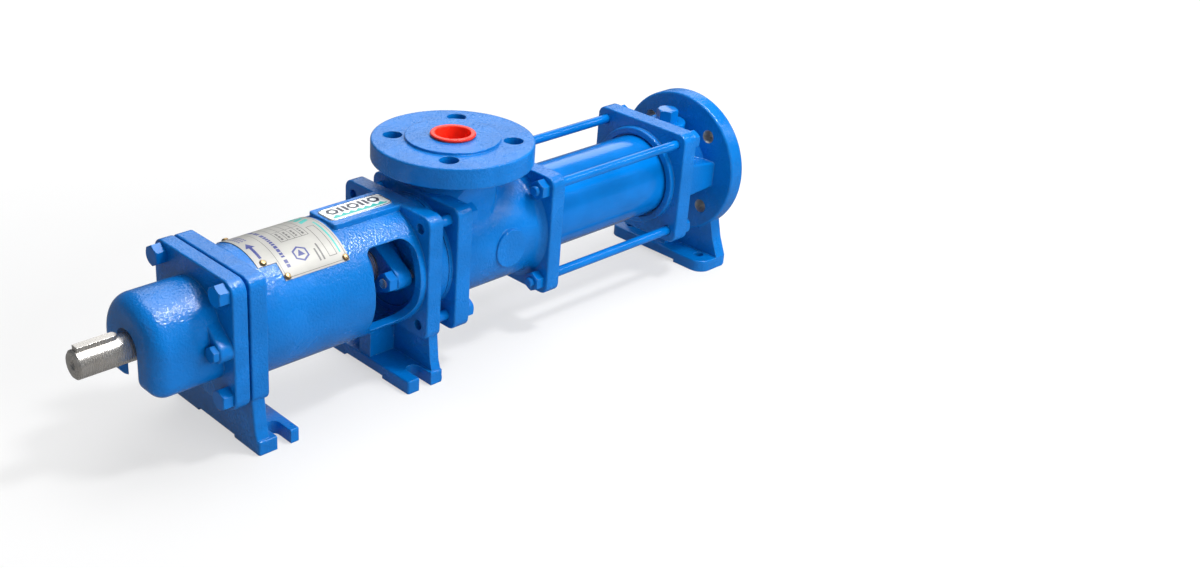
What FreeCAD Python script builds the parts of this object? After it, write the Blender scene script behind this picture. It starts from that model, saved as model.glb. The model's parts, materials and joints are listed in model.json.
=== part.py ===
import FreeCAD, Part
import math
import os

# Progressive cavity pump, millimetres.
# The pump axis runs along X, the drive end lies at -X and the feet stand on z = 0.
# Driving dimensions come first, then the stations that follow from them.

# Pump line
axis_height = 102.7
shaft_free_length = 48.0
hood_length = 63.6
cover_flange_thickness = 14.5
cover_gap = 2.5
pedestal_length = 202.0
stuffing_flange_thickness = 12.0
gasket_thickness = 1.0
collar_height = 4.0
suction_front_reach = 44.0
suction_rear_reach = 89.5
stator_visible_length = 169.5
discharge_plate_thickness = 18.5
discharge_neck_length = 43.1
port_flange_thickness = 17.5
raised_face_height = 2.5

# Square flanges and their bolts
corner_bolt_offset = 47.2
cover_half_width = 59.0
cover_corner_radius = 12.0
pedestal_half_width = 58.0
body_half_width = 60.0
body_corner_radius = 9.0
discharge_half_width = 59.0
plate_edge_round = 1.6
bolt_radius = 5.0
bolt_clearance = 0.4
bolt_across_flats = 17.0
bolt_head_height = 10.0
nut_height = 9.0
nut_stud_proud = 4.0
tie_rod_radius = 4.7

# Drive-end cover
hood_radius = 43.0
hood_wall = 9.0
hood_skirt_drop = 37.0
hood_edge_round = 15.0
hood_shaft_hole_radius = 16.0
spigot_length = 6.0
ear_thickness = 12.3
ear_bolt_offset = 49.7
ear_bolt_drop = 1.5
ear_bolt_radius = 4.0
ear_bolt_across_flats = 13.0
ear_bolt_head_height = 5.5
ear_end_radius = 9.0
ear_corner_round = 6.5
ear_edge_round = 2.0
ear_web_rise = 23.0

# Pedestal
barrel_radius = 58.0
chamber_radius = 50.0
pedestal_front_flange = 17.0
pedestal_rear_flange = 16.0
front_leg_thickness = 12.5
rear_leg_thickness = 11.0
leg_top_half_width = 56.7
leg_foot_half_width = 65.3
foot_height = 12.7
front_foot_length = 41.4
rear_foot_length = 40.7
foot_slot_width = 14.0
front_slot_setback = 25.35
rear_slot_setback = 21.0
slot_inner_offset = 41.8
sole_relief_half_width = 28.0
sole_relief_height = 3.0
web_thickness = 16.0
window_length = 50.5
window_drop = 37.0
window_rise = 41.0
window_rear_margin = 7.0
window_front_round = 8.0
window_rear_round = 20.0
window_top_round = 14.0
partition_thickness = 16.0
pad_half_width = 19.0
pad_clearance = 3.0
pad_height = 60.3

# Plates on the barrel
plate_thickness = 0.6
plate_seat_clearance = 0.1
nameplate_angle = 49.0
nameplate_length = 66.0
nameplate_tab_angle = 31.5
nameplate_tab_length = 18.0
nameplate_setback = 27.0
plate_screw_radius = 1.5
plate_screw_head_radius = 3.1
badge_half_width = 11.8
badge_corner_radius = 5.0
badge_margin = 3.0
badge_end_gap = 1.0

# Bearings and seals
bearing_bore_radius = 15.0
bearing_outer_radius = 36.0
bearing_width = 19.0
bearing_ball_radius = 6.15
bearing_ball_count = 8
bearing_race_clearance = 0.15
inner_ring_shoulder = 21.5
outer_ring_shoulder = 29.5
cage_half_depth = 1.9
cage_width = 15.0
ball_pocket_clearance = 0.1
spacer_wall = 3.0
locknut_width = 7.5
locknut_radius = 22.0
seal_width = 7.0
front_seal_radius = 21.0
rear_seal_radius = 23.5
seal_lip_clearance = 0.3
seal_wall = 2.0

# Drive shaft
shaft_radius = 12.5
seal_journal_radius = 14.0
shaft_shoulder_radius = 18.0
shaft_end_chamfer = 1.5
shaft_centre_hole_radius = 2.8
shaft_centre_hole_depth = 9.0
shaft_hole_clearance = 1.6
key_width = 8.0
key_height = 7.0
key_seat_depth = 3.5
key_length = 37.0
key_setback = 2.6
thrower_radius = 28.0
thrower_width = 8.0
thrower_setback = 14.5

# Stuffing box and gland
stuffing_collar_radius = 55.0
stuffing_barrel_radius = 43.8
stuffing_front_reach = 15.0
stuffing_fit_clearance = 0.2
packing_width = 8.0
packing_count = 3
packing_clearance = 0.3
throat_wall = 6.0
throat_clearance = 0.8
gland_gap = 7.0
gland_thickness = 15.0
gland_nose_length = 13.0
gland_body_radius = 25.5
gland_lobe_radius = 10.0
gland_stud_offset = 34.5
gland_stud_radius = 4.5
gland_tilt = 2.5
gland_stud_proud = 1.5
gland_stud_depth = 12.0
gland_clearance = 0.5
gland_nut_across_flats = 17.0

# Suction housing
suction_front_flange = 17.5
suction_rear_flange = 16.5
suction_barrel_radius = 52.0
suction_wall = 7.0
suction_neck_radius = 34.5
suction_flange_radius = 75.0
suction_flange_thickness = 20.5
suction_flange_height = 202.3
suction_face_radius = 44.0
port_bore_radius = 20.0
flange_pitch_radius = 55.0
flange_hole_radius = 9.0
discharge_hole_radius = 7.0
flange_hole_count = 4
flare_angle = 22.0
flare_top_round = 26.0
blank_boss_radius = 18.5
blank_boss_height = 1.6
blank_boss_setback = 30.0
drain_boss_radius = 12.0
drain_boss_reach = 58.0
drain_boss_setback = 2.0
drain_plug_radius = 6.5
drain_plug_across_flats = 14.0
drain_plug_head = 5.0

# Port plug
plug_lip_radius = 21.0
plug_lip_height = 3.0
plug_wall = 3.5
plug_depth = 15.0
plug_floor = 2.0
plug_fit_clearance = 0.3
plug_lip_flare = 1.0

# Stator, rotor and coupling
stator_tube_radius = 42.0
stator_tube_wall = 4.0
stator_seat_depth_suction = 3.0
stator_seat_depth_discharge = 6.0
stator_seat_clearance = 0.2
stator_seal_width = 1.5
stator_collar_radius = 51.0
stator_collar_height = 5.0
stator_recess_depth = 3.0
stator_recess_width = 2.5
eccentricity = 4.5
rotor_section_radius = 13.0
rotor_pitch = 45.0
rotor_clearance = 0.4
rotor_neck_radius = 8.0
rotor_end_setback = 3.0
joint_head_radius = 22.0
rotor_head_radius = 20.0
joint_head_floor = 4.0
shaft_spigot_radius = 9.0
shaft_spigot_length = 8.0
joint_pin_radius = 4.0
joint_pin_hole_clearance = 0.9
joint_pin_recess = 1.5
joint_pocket_radius = 12.8
joint_pocket_clearance = 1.5
coupling_end_radius = 11.0
coupling_end_reach = 8.5
coupling_rod_radius = 8.0
joint_head_gap = 2.0
joint_head_overhang = 12.0
stator_entry_gap = 3.5
boot_clearance = 0.3
boot_wall = 2.6
boot_grip = 9.0
boot_cone_length = 13.0
boot_neck_length = 6.0

# Discharge housing
discharge_neck_radius = 31.0
discharge_chamber_radius = 27.0
discharge_leg_thickness = 14.0
discharge_foot_length = 38.0
discharge_foot_height = 12.0
discharge_foot_half_width = 65.5
discharge_foot_hole_radius = 5.0
discharge_foot_hole_offset = 48.0
discharge_foot_hole_setback = 22.0
discharge_foot_round = 13.0
gauge_boss_radius = 19.5
gauge_boss_setback = 24.3
gauge_plug_across_flats = 19.5
gauge_plug_head = 12.6
gauge_plug_radius = 8.0
gauge_plug_depth = 12.0
side_block_reach = 51.0
side_block_plate_rise = 21.3
side_block_plate_drop = 16.0
side_block_flange_rise = 13.7
side_block_flange_drop = 13.2
side_block_round = 2.5

# Stations along the pump, measured from the middle of the overall length
reach_front = (
    suction_front_reach + collar_height + gasket_thickness + stuffing_flange_thickness
    + pedestal_length + cover_gap + cover_flange_thickness + hood_length + shaft_free_length
)
reach_rear = (
    suction_rear_reach + stator_visible_length + discharge_plate_thickness
    + discharge_neck_length + port_flange_thickness + raised_face_height
)
x_suction = (reach_front - reach_rear) / 2
x_shaft_end = x_suction - reach_front
x_hood_front = x_shaft_end + shaft_free_length
x_cover_front = x_hood_front + hood_length
x_cover_back = x_cover_front + cover_flange_thickness
x_pedestal_front = x_cover_back + cover_gap
x_pedestal_back = x_pedestal_front + pedestal_length
x_gasket = x_pedestal_back + stuffing_flange_thickness
x_collar = x_gasket + gasket_thickness
x_suction_front = x_collar + collar_height
x_suction_back = x_suction + suction_rear_reach
x_discharge_plate = x_suction_back + stator_visible_length
x_plate_back = x_discharge_plate + discharge_plate_thickness
x_port_back = x_plate_back + discharge_neck_length
x_port_front = x_port_back + port_flange_thickness
x_port_face = x_port_front + raised_face_height

x_bearing_front = x_pedestal_front + spigot_length
x_window_back = x_pedestal_back - pedestal_rear_flange - window_rear_margin
x_window_front = x_window_back - window_length
x_chamber_front = x_window_front
x_partition = x_chamber_front - partition_thickness
x_bearing_rear = x_partition - bearing_width

x_box_front = x_pedestal_back - stuffing_front_reach
x_gland_back = x_box_front - gland_gap
x_gland_front = x_gland_back - gland_thickness
x_nose_end = x_gland_back + gland_nose_length
x_packing_end = x_nose_end + (packing_count + 1) * packing_width
x_throat_end = x_packing_end + throat_wall

x_stator_start = x_suction_back - stator_seat_depth_suction
x_stator_end = x_discharge_plate + stator_seat_depth_discharge
x_joint_head = x_throat_end + joint_head_gap
x_front_pin = x_joint_head + shaft_spigot_length + 1.5 * joint_head_overhang
x_joint_head_back = x_front_pin + joint_head_overhang
x_rotor_head_back = x_stator_start - stator_entry_gap
x_rotor_pocket_end = x_rotor_head_back - joint_head_floor
x_rear_pin = x_rotor_pocket_end - coupling_end_reach - joint_pocket_clearance
x_rotor_head = x_rear_pin - joint_head_overhang
x_rotor_start = x_stator_start + stator_entry_gap
x_rotor_end = x_stator_end - rotor_end_setback

x_thrower = x_window_front + thrower_setback
x_foot_hole = x_port_front - discharge_foot_hole_setback
x_nameplate_tab = x_pedestal_front + nameplate_setback
x_nameplate = x_nameplate_tab + nameplate_tab_length
x_pad = x_nameplate + nameplate_length + pad_clearance
gauge_boss_reach = suction_flange_radius - gauge_boss_setback

AXIS_X = FreeCAD.Vector(1, 0, 0)
AXIS_Y = FreeCAD.Vector(0, 1, 0)
AXIS_Z = FreeCAD.Vector(0, 0, 1)
PUMP_AXIS = FreeCAD.Vector(0, 0, axis_height)
BORE_OVERRUN = 1.0
HEX_CORNER = 1.0 / math.cos(math.radians(30))

coupling_tilt = math.atan2(eccentricity, x_rear_pin - x_front_pin)
coupling_length = math.hypot(eccentricity, x_rear_pin - x_front_pin)
coupling_direction = FreeCAD.Vector(math.cos(coupling_tilt), math.sin(coupling_tilt), 0)
coupling_side = FreeCAD.Vector(-math.sin(coupling_tilt), math.cos(coupling_tilt), 0)
front_pin_point = FreeCAD.Vector(x_front_pin, 0, axis_height)
rotor_axis_point = FreeCAD.Vector(0, eccentricity, axis_height)


def corner_arc(before, corner, after, radius):
    """Tangent arc that rounds one corner: start, middle and end points."""
    towards_before = (before - corner).normalize()
    towards_after = (after - corner).normalize()
    half_angle = towards_before.getAngle(towards_after) / 2
    setback = radius / math.tan(half_angle)
    bisector = (towards_before + towards_after).normalize()
    centre = corner + bisector * (radius / math.sin(half_angle))
    start = corner + towards_before * setback
    end = corner + towards_after * setback
    return start, centre - bisector * radius, end


def rounded_wire(points, radii):
    """Closed wire through points, with each corner rounded by its radius."""
    count = len(points)
    corners = []
    for i in range(count):
        if radii[i] > 0:
            corners.append(corner_arc(points[i - 1], points[i], points[(i + 1) % count], radii[i]))
        else:
            corners.append((points[i], None, points[i]))
    edges = []
    for i in range(count):
        start, middle, end = corners[i]
        if middle is not None:
            edges.append(Part.Arc(start, middle, end).toShape())
        following = corners[(i + 1) % count][0]
        if (following - end).Length > 1e-6:
            edges.append(Part.LineSegment(end, following).toShape())
    return Part.Wire(edges)


def face_of(points, radii=None):
    """Flat face with the given corners; radii is one number, a list or None."""
    if radii is None:
        radii = 0
    if not isinstance(radii, (list, tuple)):
        radii = [radii] * len(points)
    return Part.Face(rounded_wire(points, radii))


def plate_x(outline, start, end, radii=None):
    """Plate across the pump axis: outline in (y, z), from x = start to x = end."""
    points = [FreeCAD.Vector(start, y, z) for y, z in outline]
    return face_of(points, radii).extrude(AXIS_X * (end - start))


def plate_y(outline, start, end, radii=None):
    """Plate seen from the side: outline in (x, z), from y = start to y = end."""
    points = [FreeCAD.Vector(x, start, z) for x, z in outline]
    return face_of(points, radii).extrude(AXIS_Y * (end - start))


def plate_z(outline, start, end, radii=None):
    """Plate seen from above: outline in (x, y), from z = start to z = end."""
    points = [FreeCAD.Vector(x, y, start) for x, y in outline]
    return face_of(points, radii).extrude(AXIS_Z * (end - start))


def turned(profile, radii=None, origin=PUMP_AXIS, along=AXIS_X, radial=AXIS_Y):
    """Solid of revolution: profile holds (distance along the axis, radius) pairs."""
    points = [origin + along * distance + radial * radius for distance, radius in profile]
    return face_of(points, radii).revolve(origin, along, 360)


def disc_x(radius, start, end, centre=PUMP_AXIS):
    """Round bar along X."""
    base = FreeCAD.Vector(start, centre.y, centre.z)
    return Part.makeCylinder(radius, end - start, base, AXIS_X)


def ring_x(outer, inner, start, end, centre=PUMP_AXIS):
    """Round tube along X."""
    hole = disc_x(inner, start - BORE_OVERRUN, end + BORE_OVERRUN, centre)
    return disc_x(outer, start, end, centre).cut(hole)


def box(x0, x1, y0, y1, z0, z1):
    """Rectangular block between two corners."""
    return Part.makeBox(x1 - x0, y1 - y0, z1 - z0, FreeCAD.Vector(x0, y0, z0))


def square(half_width):
    """Corners of a square about the pump axis in (y, z)."""
    low = axis_height - half_width
    high = axis_height + half_width
    return [(-half_width, low), (half_width, low), (half_width, high), (-half_width, high)]


def edges_at(shape, axis, value):
    """Edges that lie wholly in the plane where the named coordinate equals value."""
    low = axis + "Min"
    high = axis + "Max"
    found = []
    for edge in shape.Edges:
        bounds = edge.BoundBox
        if abs(getattr(bounds, low) - value) < 1e-4 and abs(getattr(bounds, high) - value) < 1e-4:
            found.append(edge)
    return found


def soften(shape, radius, axis, *values):
    """Round every edge that lies in the given planes."""
    edges = []
    for value in values:
        edges.extend(edges_at(shape, axis, value))
    return shape.makeFillet(radius, edges)


def square_flange(half_width, corner_radius, start, end):
    """Square cast flange with rounded corners and softened rims."""
    plate = plate_x(square(half_width), start, end, corner_radius)
    return soften(plate, plate_edge_round, "X", start, end)


def corner_points():
    """Pump-axis corner positions of the square bolt pattern, as vectors with x = 0."""
    points = []
    for side in (-1, 1):
        for level in (-1, 1):
            y = side * corner_bolt_offset
            z = axis_height + level * corner_bolt_offset
            points.append(FreeCAD.Vector(0, y, z))
    return points


def corner_holes(radius, start, end):
    """Four round bars on the corner bolt pattern, for cutting or for studs."""
    return [disc_x(radius, start, end, point) for point in corner_points()]


def hexagon(across_flats, seat, outward, height, bore=0.0):
    """Hexagonal head or nut standing on the point seat, chamfered on its outer side."""
    outward = FreeCAD.Vector(outward)
    helper = AXIS_Z if abs(outward.z) < 0.5 else AXIS_X
    sideways = outward.cross(helper).normalize()
    other = outward.cross(sideways).normalize()
    corner_radius = across_flats / 2 * HEX_CORNER
    points = []
    for i in range(6):
        angle = math.radians(60 * i + 30)
        points.append(
            seat + sideways * corner_radius * math.cos(angle) + other * corner_radius * math.sin(angle)
        )
    prism = face_of(points).extrude(outward * height)
    rise = (corner_radius * 1.01 - across_flats * 0.47) * math.tan(math.radians(30))
    profile = [
        (0, 0), (0, corner_radius * 1.01), (height - rise, corner_radius * 1.01),
        (height, across_flats * 0.47), (height, 0),
    ]
    head = prism.common(turned(profile, None, seat, outward, sideways))
    if bore > 0:
        head = head.cut(
            Part.makeCylinder(bore, height + 2 * BORE_OVERRUN, seat - outward * BORE_OVERRUN, outward)
        )
    return head


def bolt_x(centre, x_seat, outward, shank_length, radius, across_flats, head_height):
    """Hexagon bolt along X: the head stands outward of the seat, the shank runs the other way."""
    seat = FreeCAD.Vector(x_seat, centre.y, centre.z)
    head = hexagon(across_flats, seat, AXIS_X * outward, head_height)
    shank = Part.makeCylinder(radius, shank_length, seat, AXIS_X * -outward)
    return head.fuse(shank).removeSplitter()


def corner_bolts(x_seat, outward, shank_length):
    """Four bolts of the corner pattern."""
    bolts = []
    for point in corner_points():
        bolts.append(
            bolt_x(point, x_seat, outward, shank_length, bolt_radius, bolt_across_flats, bolt_head_height)
        )
    return Part.makeCompound(bolts)


def ear_bolt_point(side):
    """Centre of the bolt in one of the cover's ears."""
    return FreeCAD.Vector(0, side * ear_bolt_offset, axis_height - ear_bolt_drop)


def join(first, *others):
    """One solid from overlapping pieces."""
    return first.fuse(list(others)).removeSplitter()


def cut_all(shape, tools):
    """Shape with every tool removed."""
    return shape.cut(list(tools)).removeSplitter()


# Drive-end cover and its bolts

def hood_outline(radius, drop):
    """Inverted U about the pump axis, as a face outline wire at x = 0."""
    left = FreeCAD.Vector(0, -radius, axis_height)
    right = FreeCAD.Vector(0, radius, axis_height)
    top = FreeCAD.Vector(0, 0, axis_height + radius)
    low_left = FreeCAD.Vector(0, -radius, axis_height - drop)
    low_right = FreeCAD.Vector(0, radius, axis_height - drop)
    return left, top, right, low_right, low_left


def hood_block(radius, drop, bottom_round, start, end):
    """Solid inverted U along X with rounded lower corners."""
    left, top, right, low_right, low_left = hood_outline(radius, drop)
    edges = [Part.Arc(left, top, right).toShape()]
    if bottom_round > 0:
        right_arc = corner_arc(right, low_right, low_left, bottom_round)
        left_arc = corner_arc(low_right, low_left, left, bottom_round)
        edges.append(Part.LineSegment(right, right_arc[0]).toShape())
        edges.append(Part.Arc(*right_arc).toShape())
        edges.append(Part.LineSegment(right_arc[2], left_arc[0]).toShape())
        edges.append(Part.Arc(*left_arc).toShape())
        edges.append(Part.LineSegment(left_arc[2], left).toShape())
    else:
        edges.append(Part.LineSegment(right, low_right).toShape())
        edges.append(Part.LineSegment(low_right, low_left).toShape())
        edges.append(Part.LineSegment(low_left, left).toShape())
    face = Part.Face(Part.Wire(edges))
    face.translate(AXIS_X * start)
    return face.extrude(AXIS_X * (end - start))


def ear(side):
    """Bolt ear beside the hood, with a web that slopes down from the hood's shoulder."""
    bolt_z = axis_height - ear_bolt_drop
    tip = ear_bolt_offset + ear_end_radius
    outline = [
        (side * (hood_radius - hood_wall), axis_height + ear_web_rise),
        (side * (ear_bolt_offset + ear_end_radius * 0.75), bolt_z + ear_end_radius * 0.66),
        (side * tip, bolt_z - ear_end_radius * 0.2),
        (side * (ear_bolt_offset + ear_end_radius * 0.5), bolt_z - ear_end_radius),
        (side * (hood_radius - hood_wall), bolt_z - ear_end_radius),
    ]
    rounds = [0, ear_corner_round, ear_corner_round, ear_corner_round, 0]
    web = plate_x(outline, x_cover_front - ear_thickness, x_cover_front + plate_edge_round, rounds)
    return soften(web, ear_edge_round, "X", x_cover_front - ear_thickness)


def drive_end_cover():
    """Square cover flange with the open-bottomed shaft hood cast on its front."""
    flange = square_flange(cover_half_width, cover_corner_radius, x_cover_front, x_cover_back)
    block = hood_block(hood_radius, hood_skirt_drop, hood_edge_round + 0.5, x_hood_front, x_cover_front + 2)
    block = soften(block, hood_edge_round, "X", x_hood_front)
    inner_radius = hood_radius - hood_wall
    hollow = hood_block(inner_radius, hood_skirt_drop + 5, 0, x_hood_front + hood_wall, x_cover_front)
    half_slot = hood_shaft_hole_radius
    slot_bottom = axis_height - hood_skirt_drop - 5
    slot = box(
        x_hood_front - 5, x_hood_front + hood_wall + 1, -half_slot, half_slot, slot_bottom, axis_height
    )
    hole = disc_x(hood_shaft_hole_radius, x_hood_front - 5, x_hood_front + hood_wall + 1)
    hood = cut_all(block, [hollow, slot, hole])
    ears = [ear(-1).cut(hollow), ear(1).cut(hollow)]
    spigot = ring_x(bearing_outer_radius, inner_ring_shoulder + 6, x_cover_back - 2, x_bearing_front)
    body = join(flange, hood, *ears, spigot)
    tools = corner_holes(bolt_radius, x_cover_front - 1, x_cover_back + 1)
    for side in (-1, 1):
        tools.append(
            disc_x(ear_bolt_radius, x_cover_front - ear_thickness - 1, x_cover_back + 1, ear_bolt_point(side))
        )
    tools.append(disc_x(seal_journal_radius + shaft_hole_clearance, x_cover_front - 5, x_cover_back))
    tools.append(disc_x(front_seal_radius, x_cover_back - seal_width, x_cover_back + 1))
    return cut_all(body, tools)


def cover_corner_bolts():
    """Four bolts that hold the cover on the pedestal."""
    length = x_pedestal_front + pedestal_front_flange + 3 - x_cover_front
    return corner_bolts(x_cover_front, -1, length)


def cover_ear_bolts():
    """Two bolts through the ears beside the hood."""
    seat = x_cover_front - ear_thickness
    length = x_pedestal_front + pedestal_front_flange - 4 - seat
    bolts = []
    for side in (-1, 1):
        centre = ear_bolt_point(side)
        bolts.append(
            bolt_x(centre, seat, -1, length, ear_bolt_radius, ear_bolt_across_flats, ear_bolt_head_height)
        )
    return Part.makeCompound(bolts)


# Pedestal

def leg_outline(top_half, foot_half, top_z):
    """Outline of a leg plate that flares towards its foot, in (y, z)."""
    knee = top_half + (foot_half - top_half) * 0.36
    knee_z = top_z * 0.42
    return [
        (-foot_half, 0), (foot_half, 0), (foot_half, foot_height * 0.35), (knee, knee_z),
        (top_half, top_z), (-top_half, top_z), (-knee, knee_z), (-foot_half, foot_height * 0.35),
    ]


def foot_slot(x_centre, side):
    """Open-ended slot for a foundation bolt."""
    half = foot_slot_width / 2
    inner = slot_inner_offset + half
    round_end = Part.makeCylinder(
        half, foot_height * 3, FreeCAD.Vector(x_centre, side * inner, -foot_height), AXIS_Z
    )
    outer = leg_foot_half_width + 5
    y_low = min(side * inner, side * outer)
    y_high = max(side * inner, side * outer)
    return round_end.fuse(box(x_centre - half, x_centre + half, y_low, y_high, -foot_height, foot_height * 2))


def sole_relief(start, end):
    """Shallow channel along the underside of a foot, for cutting."""
    half = sole_relief_half_width
    return box(start, end, -half, half, -BORE_OVERRUN, sole_relief_height)


def foot_plate(start, end):
    """Slab under a leg."""
    half = leg_foot_half_width
    plate = plate_z([(start, -half), (end, -half), (end, half), (start, half)], 0, foot_height, 2.0)
    return soften(plate, 1.5, "Z", foot_height)


def pedestal():
    """Bearing pedestal: barrel, two square flanges, legs with slotted feet, windows and pad."""
    front_end = x_pedestal_front + pedestal_front_flange
    rear_start = x_pedestal_back - pedestal_rear_flange
    front_flange = square_flange(pedestal_half_width, body_corner_radius, x_pedestal_front, front_end)
    rear_flange = square_flange(body_half_width, body_corner_radius, rear_start, x_pedestal_back)
    barrel = turned(
        [
            (front_end - 2, 0), (front_end - 2, barrel_radius - 1), (front_end + 1, barrel_radius),
            (rear_start - 3, barrel_radius), (rear_start + 2, barrel_radius - 1), (rear_start + 2, 0),
        ],
        [0, 0, 3, 3, 0, 0],
    )
    leg_top = axis_height - pedestal_half_width + 4
    front_leg = plate_x(
        leg_outline(leg_top_half_width, leg_foot_half_width, leg_top),
        x_pedestal_front, x_pedestal_front + front_leg_thickness, [2, 2, 2, 14, 0, 0, 14, 2],
    )
    front_leg = soften(front_leg, plate_edge_round, "X", x_pedestal_front)
    rear_leg = plate_x(
        leg_outline(leg_top_half_width, leg_foot_half_width, leg_top),
        x_pedestal_back - rear_leg_thickness, x_pedestal_back, [2, 2, 2, 14, 0, 0, 14, 2],
    )
    rear_leg = soften(rear_leg, plate_edge_round, "X", x_pedestal_back)
    front_foot = foot_plate(x_pedestal_front + 0.2, x_pedestal_front + front_foot_length)
    rear_foot = foot_plate(x_pedestal_back - rear_foot_length, x_pedestal_back - 0.2)
    half_web = web_thickness / 2
    web_top = axis_height - barrel_radius + 6
    front_web = plate_y(
        [
            (x_pedestal_front + 4, foot_height - 2),
            (x_pedestal_front + front_foot_length - 8, foot_height - 2),
            (front_end + 12, web_top), (x_pedestal_front + 4, web_top),
        ],
        -half_web, half_web,
    )
    rear_web = plate_y(
        [
            (x_pedestal_back - rear_foot_length + 2, foot_height - 2), (x_pedestal_back - 4, foot_height - 2),
            (x_pedestal_back - 4, web_top), (x_pedestal_back - rear_foot_length + 2, web_top),
        ],
        -half_web, half_web,
    )
    pad = plate_z(
        [
            (x_pad, -pad_half_width), (rear_start + 2, -pad_half_width),
            (rear_start + 2, pad_half_width), (x_pad, pad_half_width),
        ],
        axis_height + chamber_radius + 2, axis_height + pad_height, [3, 0, 0, 3],
    )
    pad = soften(pad, 1.2, "Z", axis_height + pad_height)
    body = join(
        front_flange, rear_flange, barrel, front_leg, rear_leg, front_foot, rear_foot, front_web,
        rear_web, pad,
    )
    window = plate_y(
        [
            (x_window_front, axis_height - window_drop), (x_window_back, axis_height - window_drop),
            (x_window_back, axis_height + window_rise), (x_window_front, axis_height + window_rise),
        ],
        -barrel_radius - 5, barrel_radius + 5,
        [window_front_round, window_rear_round, window_top_round, window_front_round],
    )
    tools = [
        disc_x(bearing_outer_radius, x_pedestal_front - 1, x_partition),
        disc_x(bearing_bore_radius + shaft_hole_clearance, x_partition - 1, x_chamber_front + 1),
        disc_x(rear_seal_radius, x_chamber_front - seal_width, x_chamber_front + 1),
        disc_x(chamber_radius, x_chamber_front, rear_start),
        disc_x(stuffing_barrel_radius + stuffing_fit_clearance, rear_start - 1, x_pedestal_back + 1),
        window,
        sole_relief(x_pedestal_front - 5, x_pedestal_front + front_foot_length + 5),
        sole_relief(x_pedestal_back - rear_foot_length - 5, x_pedestal_back + 5),
    ]
    tools.extend(corner_holes(bolt_radius, x_pedestal_front - 1, front_end + 1))
    tools.extend(corner_holes(bolt_radius, rear_start - 1, x_pedestal_back + 1))
    for side in (-1, 1):
        tools.append(disc_x(ear_bolt_radius, x_pedestal_front - 1, front_end - 4, ear_bolt_point(side)))
        tools.append(foot_slot(x_pedestal_front + front_slot_setback, side))
        tools.append(foot_slot(x_pedestal_back - rear_slot_setback, side))
    for x, angle in plate_screw_places():
        tools.append(radial_pin(x, angle, plate_screw_radius, barrel_radius - 6, barrel_radius + 1))
    return cut_all(body, tools)


# Plates on the barrel

def radial_point(x, angle, radius):
    """Point on a circle about the pump axis; angle in degrees from straight up, positive to +Y."""
    turn = math.radians(angle)
    return FreeCAD.Vector(x, radius * math.sin(turn), axis_height + radius * math.cos(turn))


def radial_pin(x, angle, radius, start, end):
    """Round bar that points away from the pump axis."""
    base = radial_point(x, angle, start)
    direction = (radial_point(x, angle, end) - base).normalize()
    return Part.makeCylinder(radius, end - start, base, direction)


def plate_screw_places():
    """Station and angle of each nameplate screw."""
    inset = 3.2
    tab_angle = nameplate_tab_angle - math.degrees(inset / barrel_radius)
    main_angle = nameplate_angle - math.degrees(inset / barrel_radius)
    places = []
    for side in (-1, 1):
        places.append((x_nameplate_tab + inset + 3.5, side * tab_angle))
        places.append((x_nameplate + inset, side * main_angle))
        places.append((x_nameplate + nameplate_length - inset, side * main_angle))
    return places


def barrel_wrap(start, end, half_angle):
    """Thin sheet that lies on the barrel's top."""
    inner = barrel_radius + plate_seat_clearance
    outer = inner + plate_thickness
    sector = Part.makeCylinder(
        outer, end - start, FreeCAD.Vector(start, 0, axis_height), AXIS_X, 2 * half_angle
    )
    sector.rotate(PUMP_AXIS, AXIS_X, first_sector_turn(sector, half_angle))
    return sector.cut(disc_x(inner, start - 1, end + 1))


def first_sector_turn(sector, half_angle):
    """Turn in degrees that centres a sector about straight up."""
    centre = sector.CenterOfMass
    heading = math.degrees(math.atan2(centre.z - axis_height, centre.y))
    return 90 - heading


def nameplate():
    """Data plate wrapped round the barrel, with a narrower tab towards the drive end."""
    main = barrel_wrap(x_nameplate, x_nameplate + nameplate_length, nameplate_angle)
    tab = barrel_wrap(x_nameplate_tab, x_nameplate + 1, nameplate_tab_angle)
    plate = join(main, tab)
    holes = []
    for x, angle in plate_screw_places():
        holes.append(radial_pin(x, angle, plate_screw_radius, barrel_radius - 2, barrel_radius + 2))
    return cut_all(plate, holes)


def nameplate_screws():
    """Round-headed drive screws at the nameplate's corners."""
    screws = []
    seat = barrel_radius + plate_seat_clearance + plate_thickness
    for x, angle in plate_screw_places():
        base = radial_point(x, angle, 0)
        outward = (radial_point(x, angle, 1) - base).normalize()
        head = plate_screw_head_radius
        profile = [
            (seat - 5, 0), (seat - 5, plate_screw_radius), (seat, plate_screw_radius), (seat, head),
            (seat + 0.7, head), (seat + 1.7, head * 0.6), (seat + 1.9, 0),
        ]
        screws.append(turned(profile, [0, 0, 0, 0, 0.5, 0, 0], base, outward, AXIS_X))
    return Part.makeCompound(screws)


def badge_plate():
    """Flat plate on the pedestal's pad."""
    start = x_pad + badge_margin
    end = x_pedestal_back - pedestal_rear_flange - badge_end_gap
    half = badge_half_width
    outline = [(start, -half), (end, -half), (end, half), (start, half)]
    bottom = axis_height + pad_height
    return plate_z(outline, bottom, bottom + plate_thickness, badge_corner_radius)


# Bearings and seals

def bearing_groove(x_start):
    """Torus that the balls run in."""
    pitch = (bearing_bore_radius + bearing_outer_radius) / 2
    centre = FreeCAD.Vector(x_start + bearing_width / 2, 0, axis_height)
    return Part.makeTorus(pitch, bearing_ball_radius + bearing_race_clearance, centre, AXIS_X)


def outer_ring(x_start):
    """Outer ring of a ball bearing."""
    profile = [
        (x_start, outer_ring_shoulder), (x_start, bearing_outer_radius),
        (x_start + bearing_width, bearing_outer_radius), (x_start + bearing_width, outer_ring_shoulder),
    ]
    return turned(profile).cut(bearing_groove(x_start))


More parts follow.
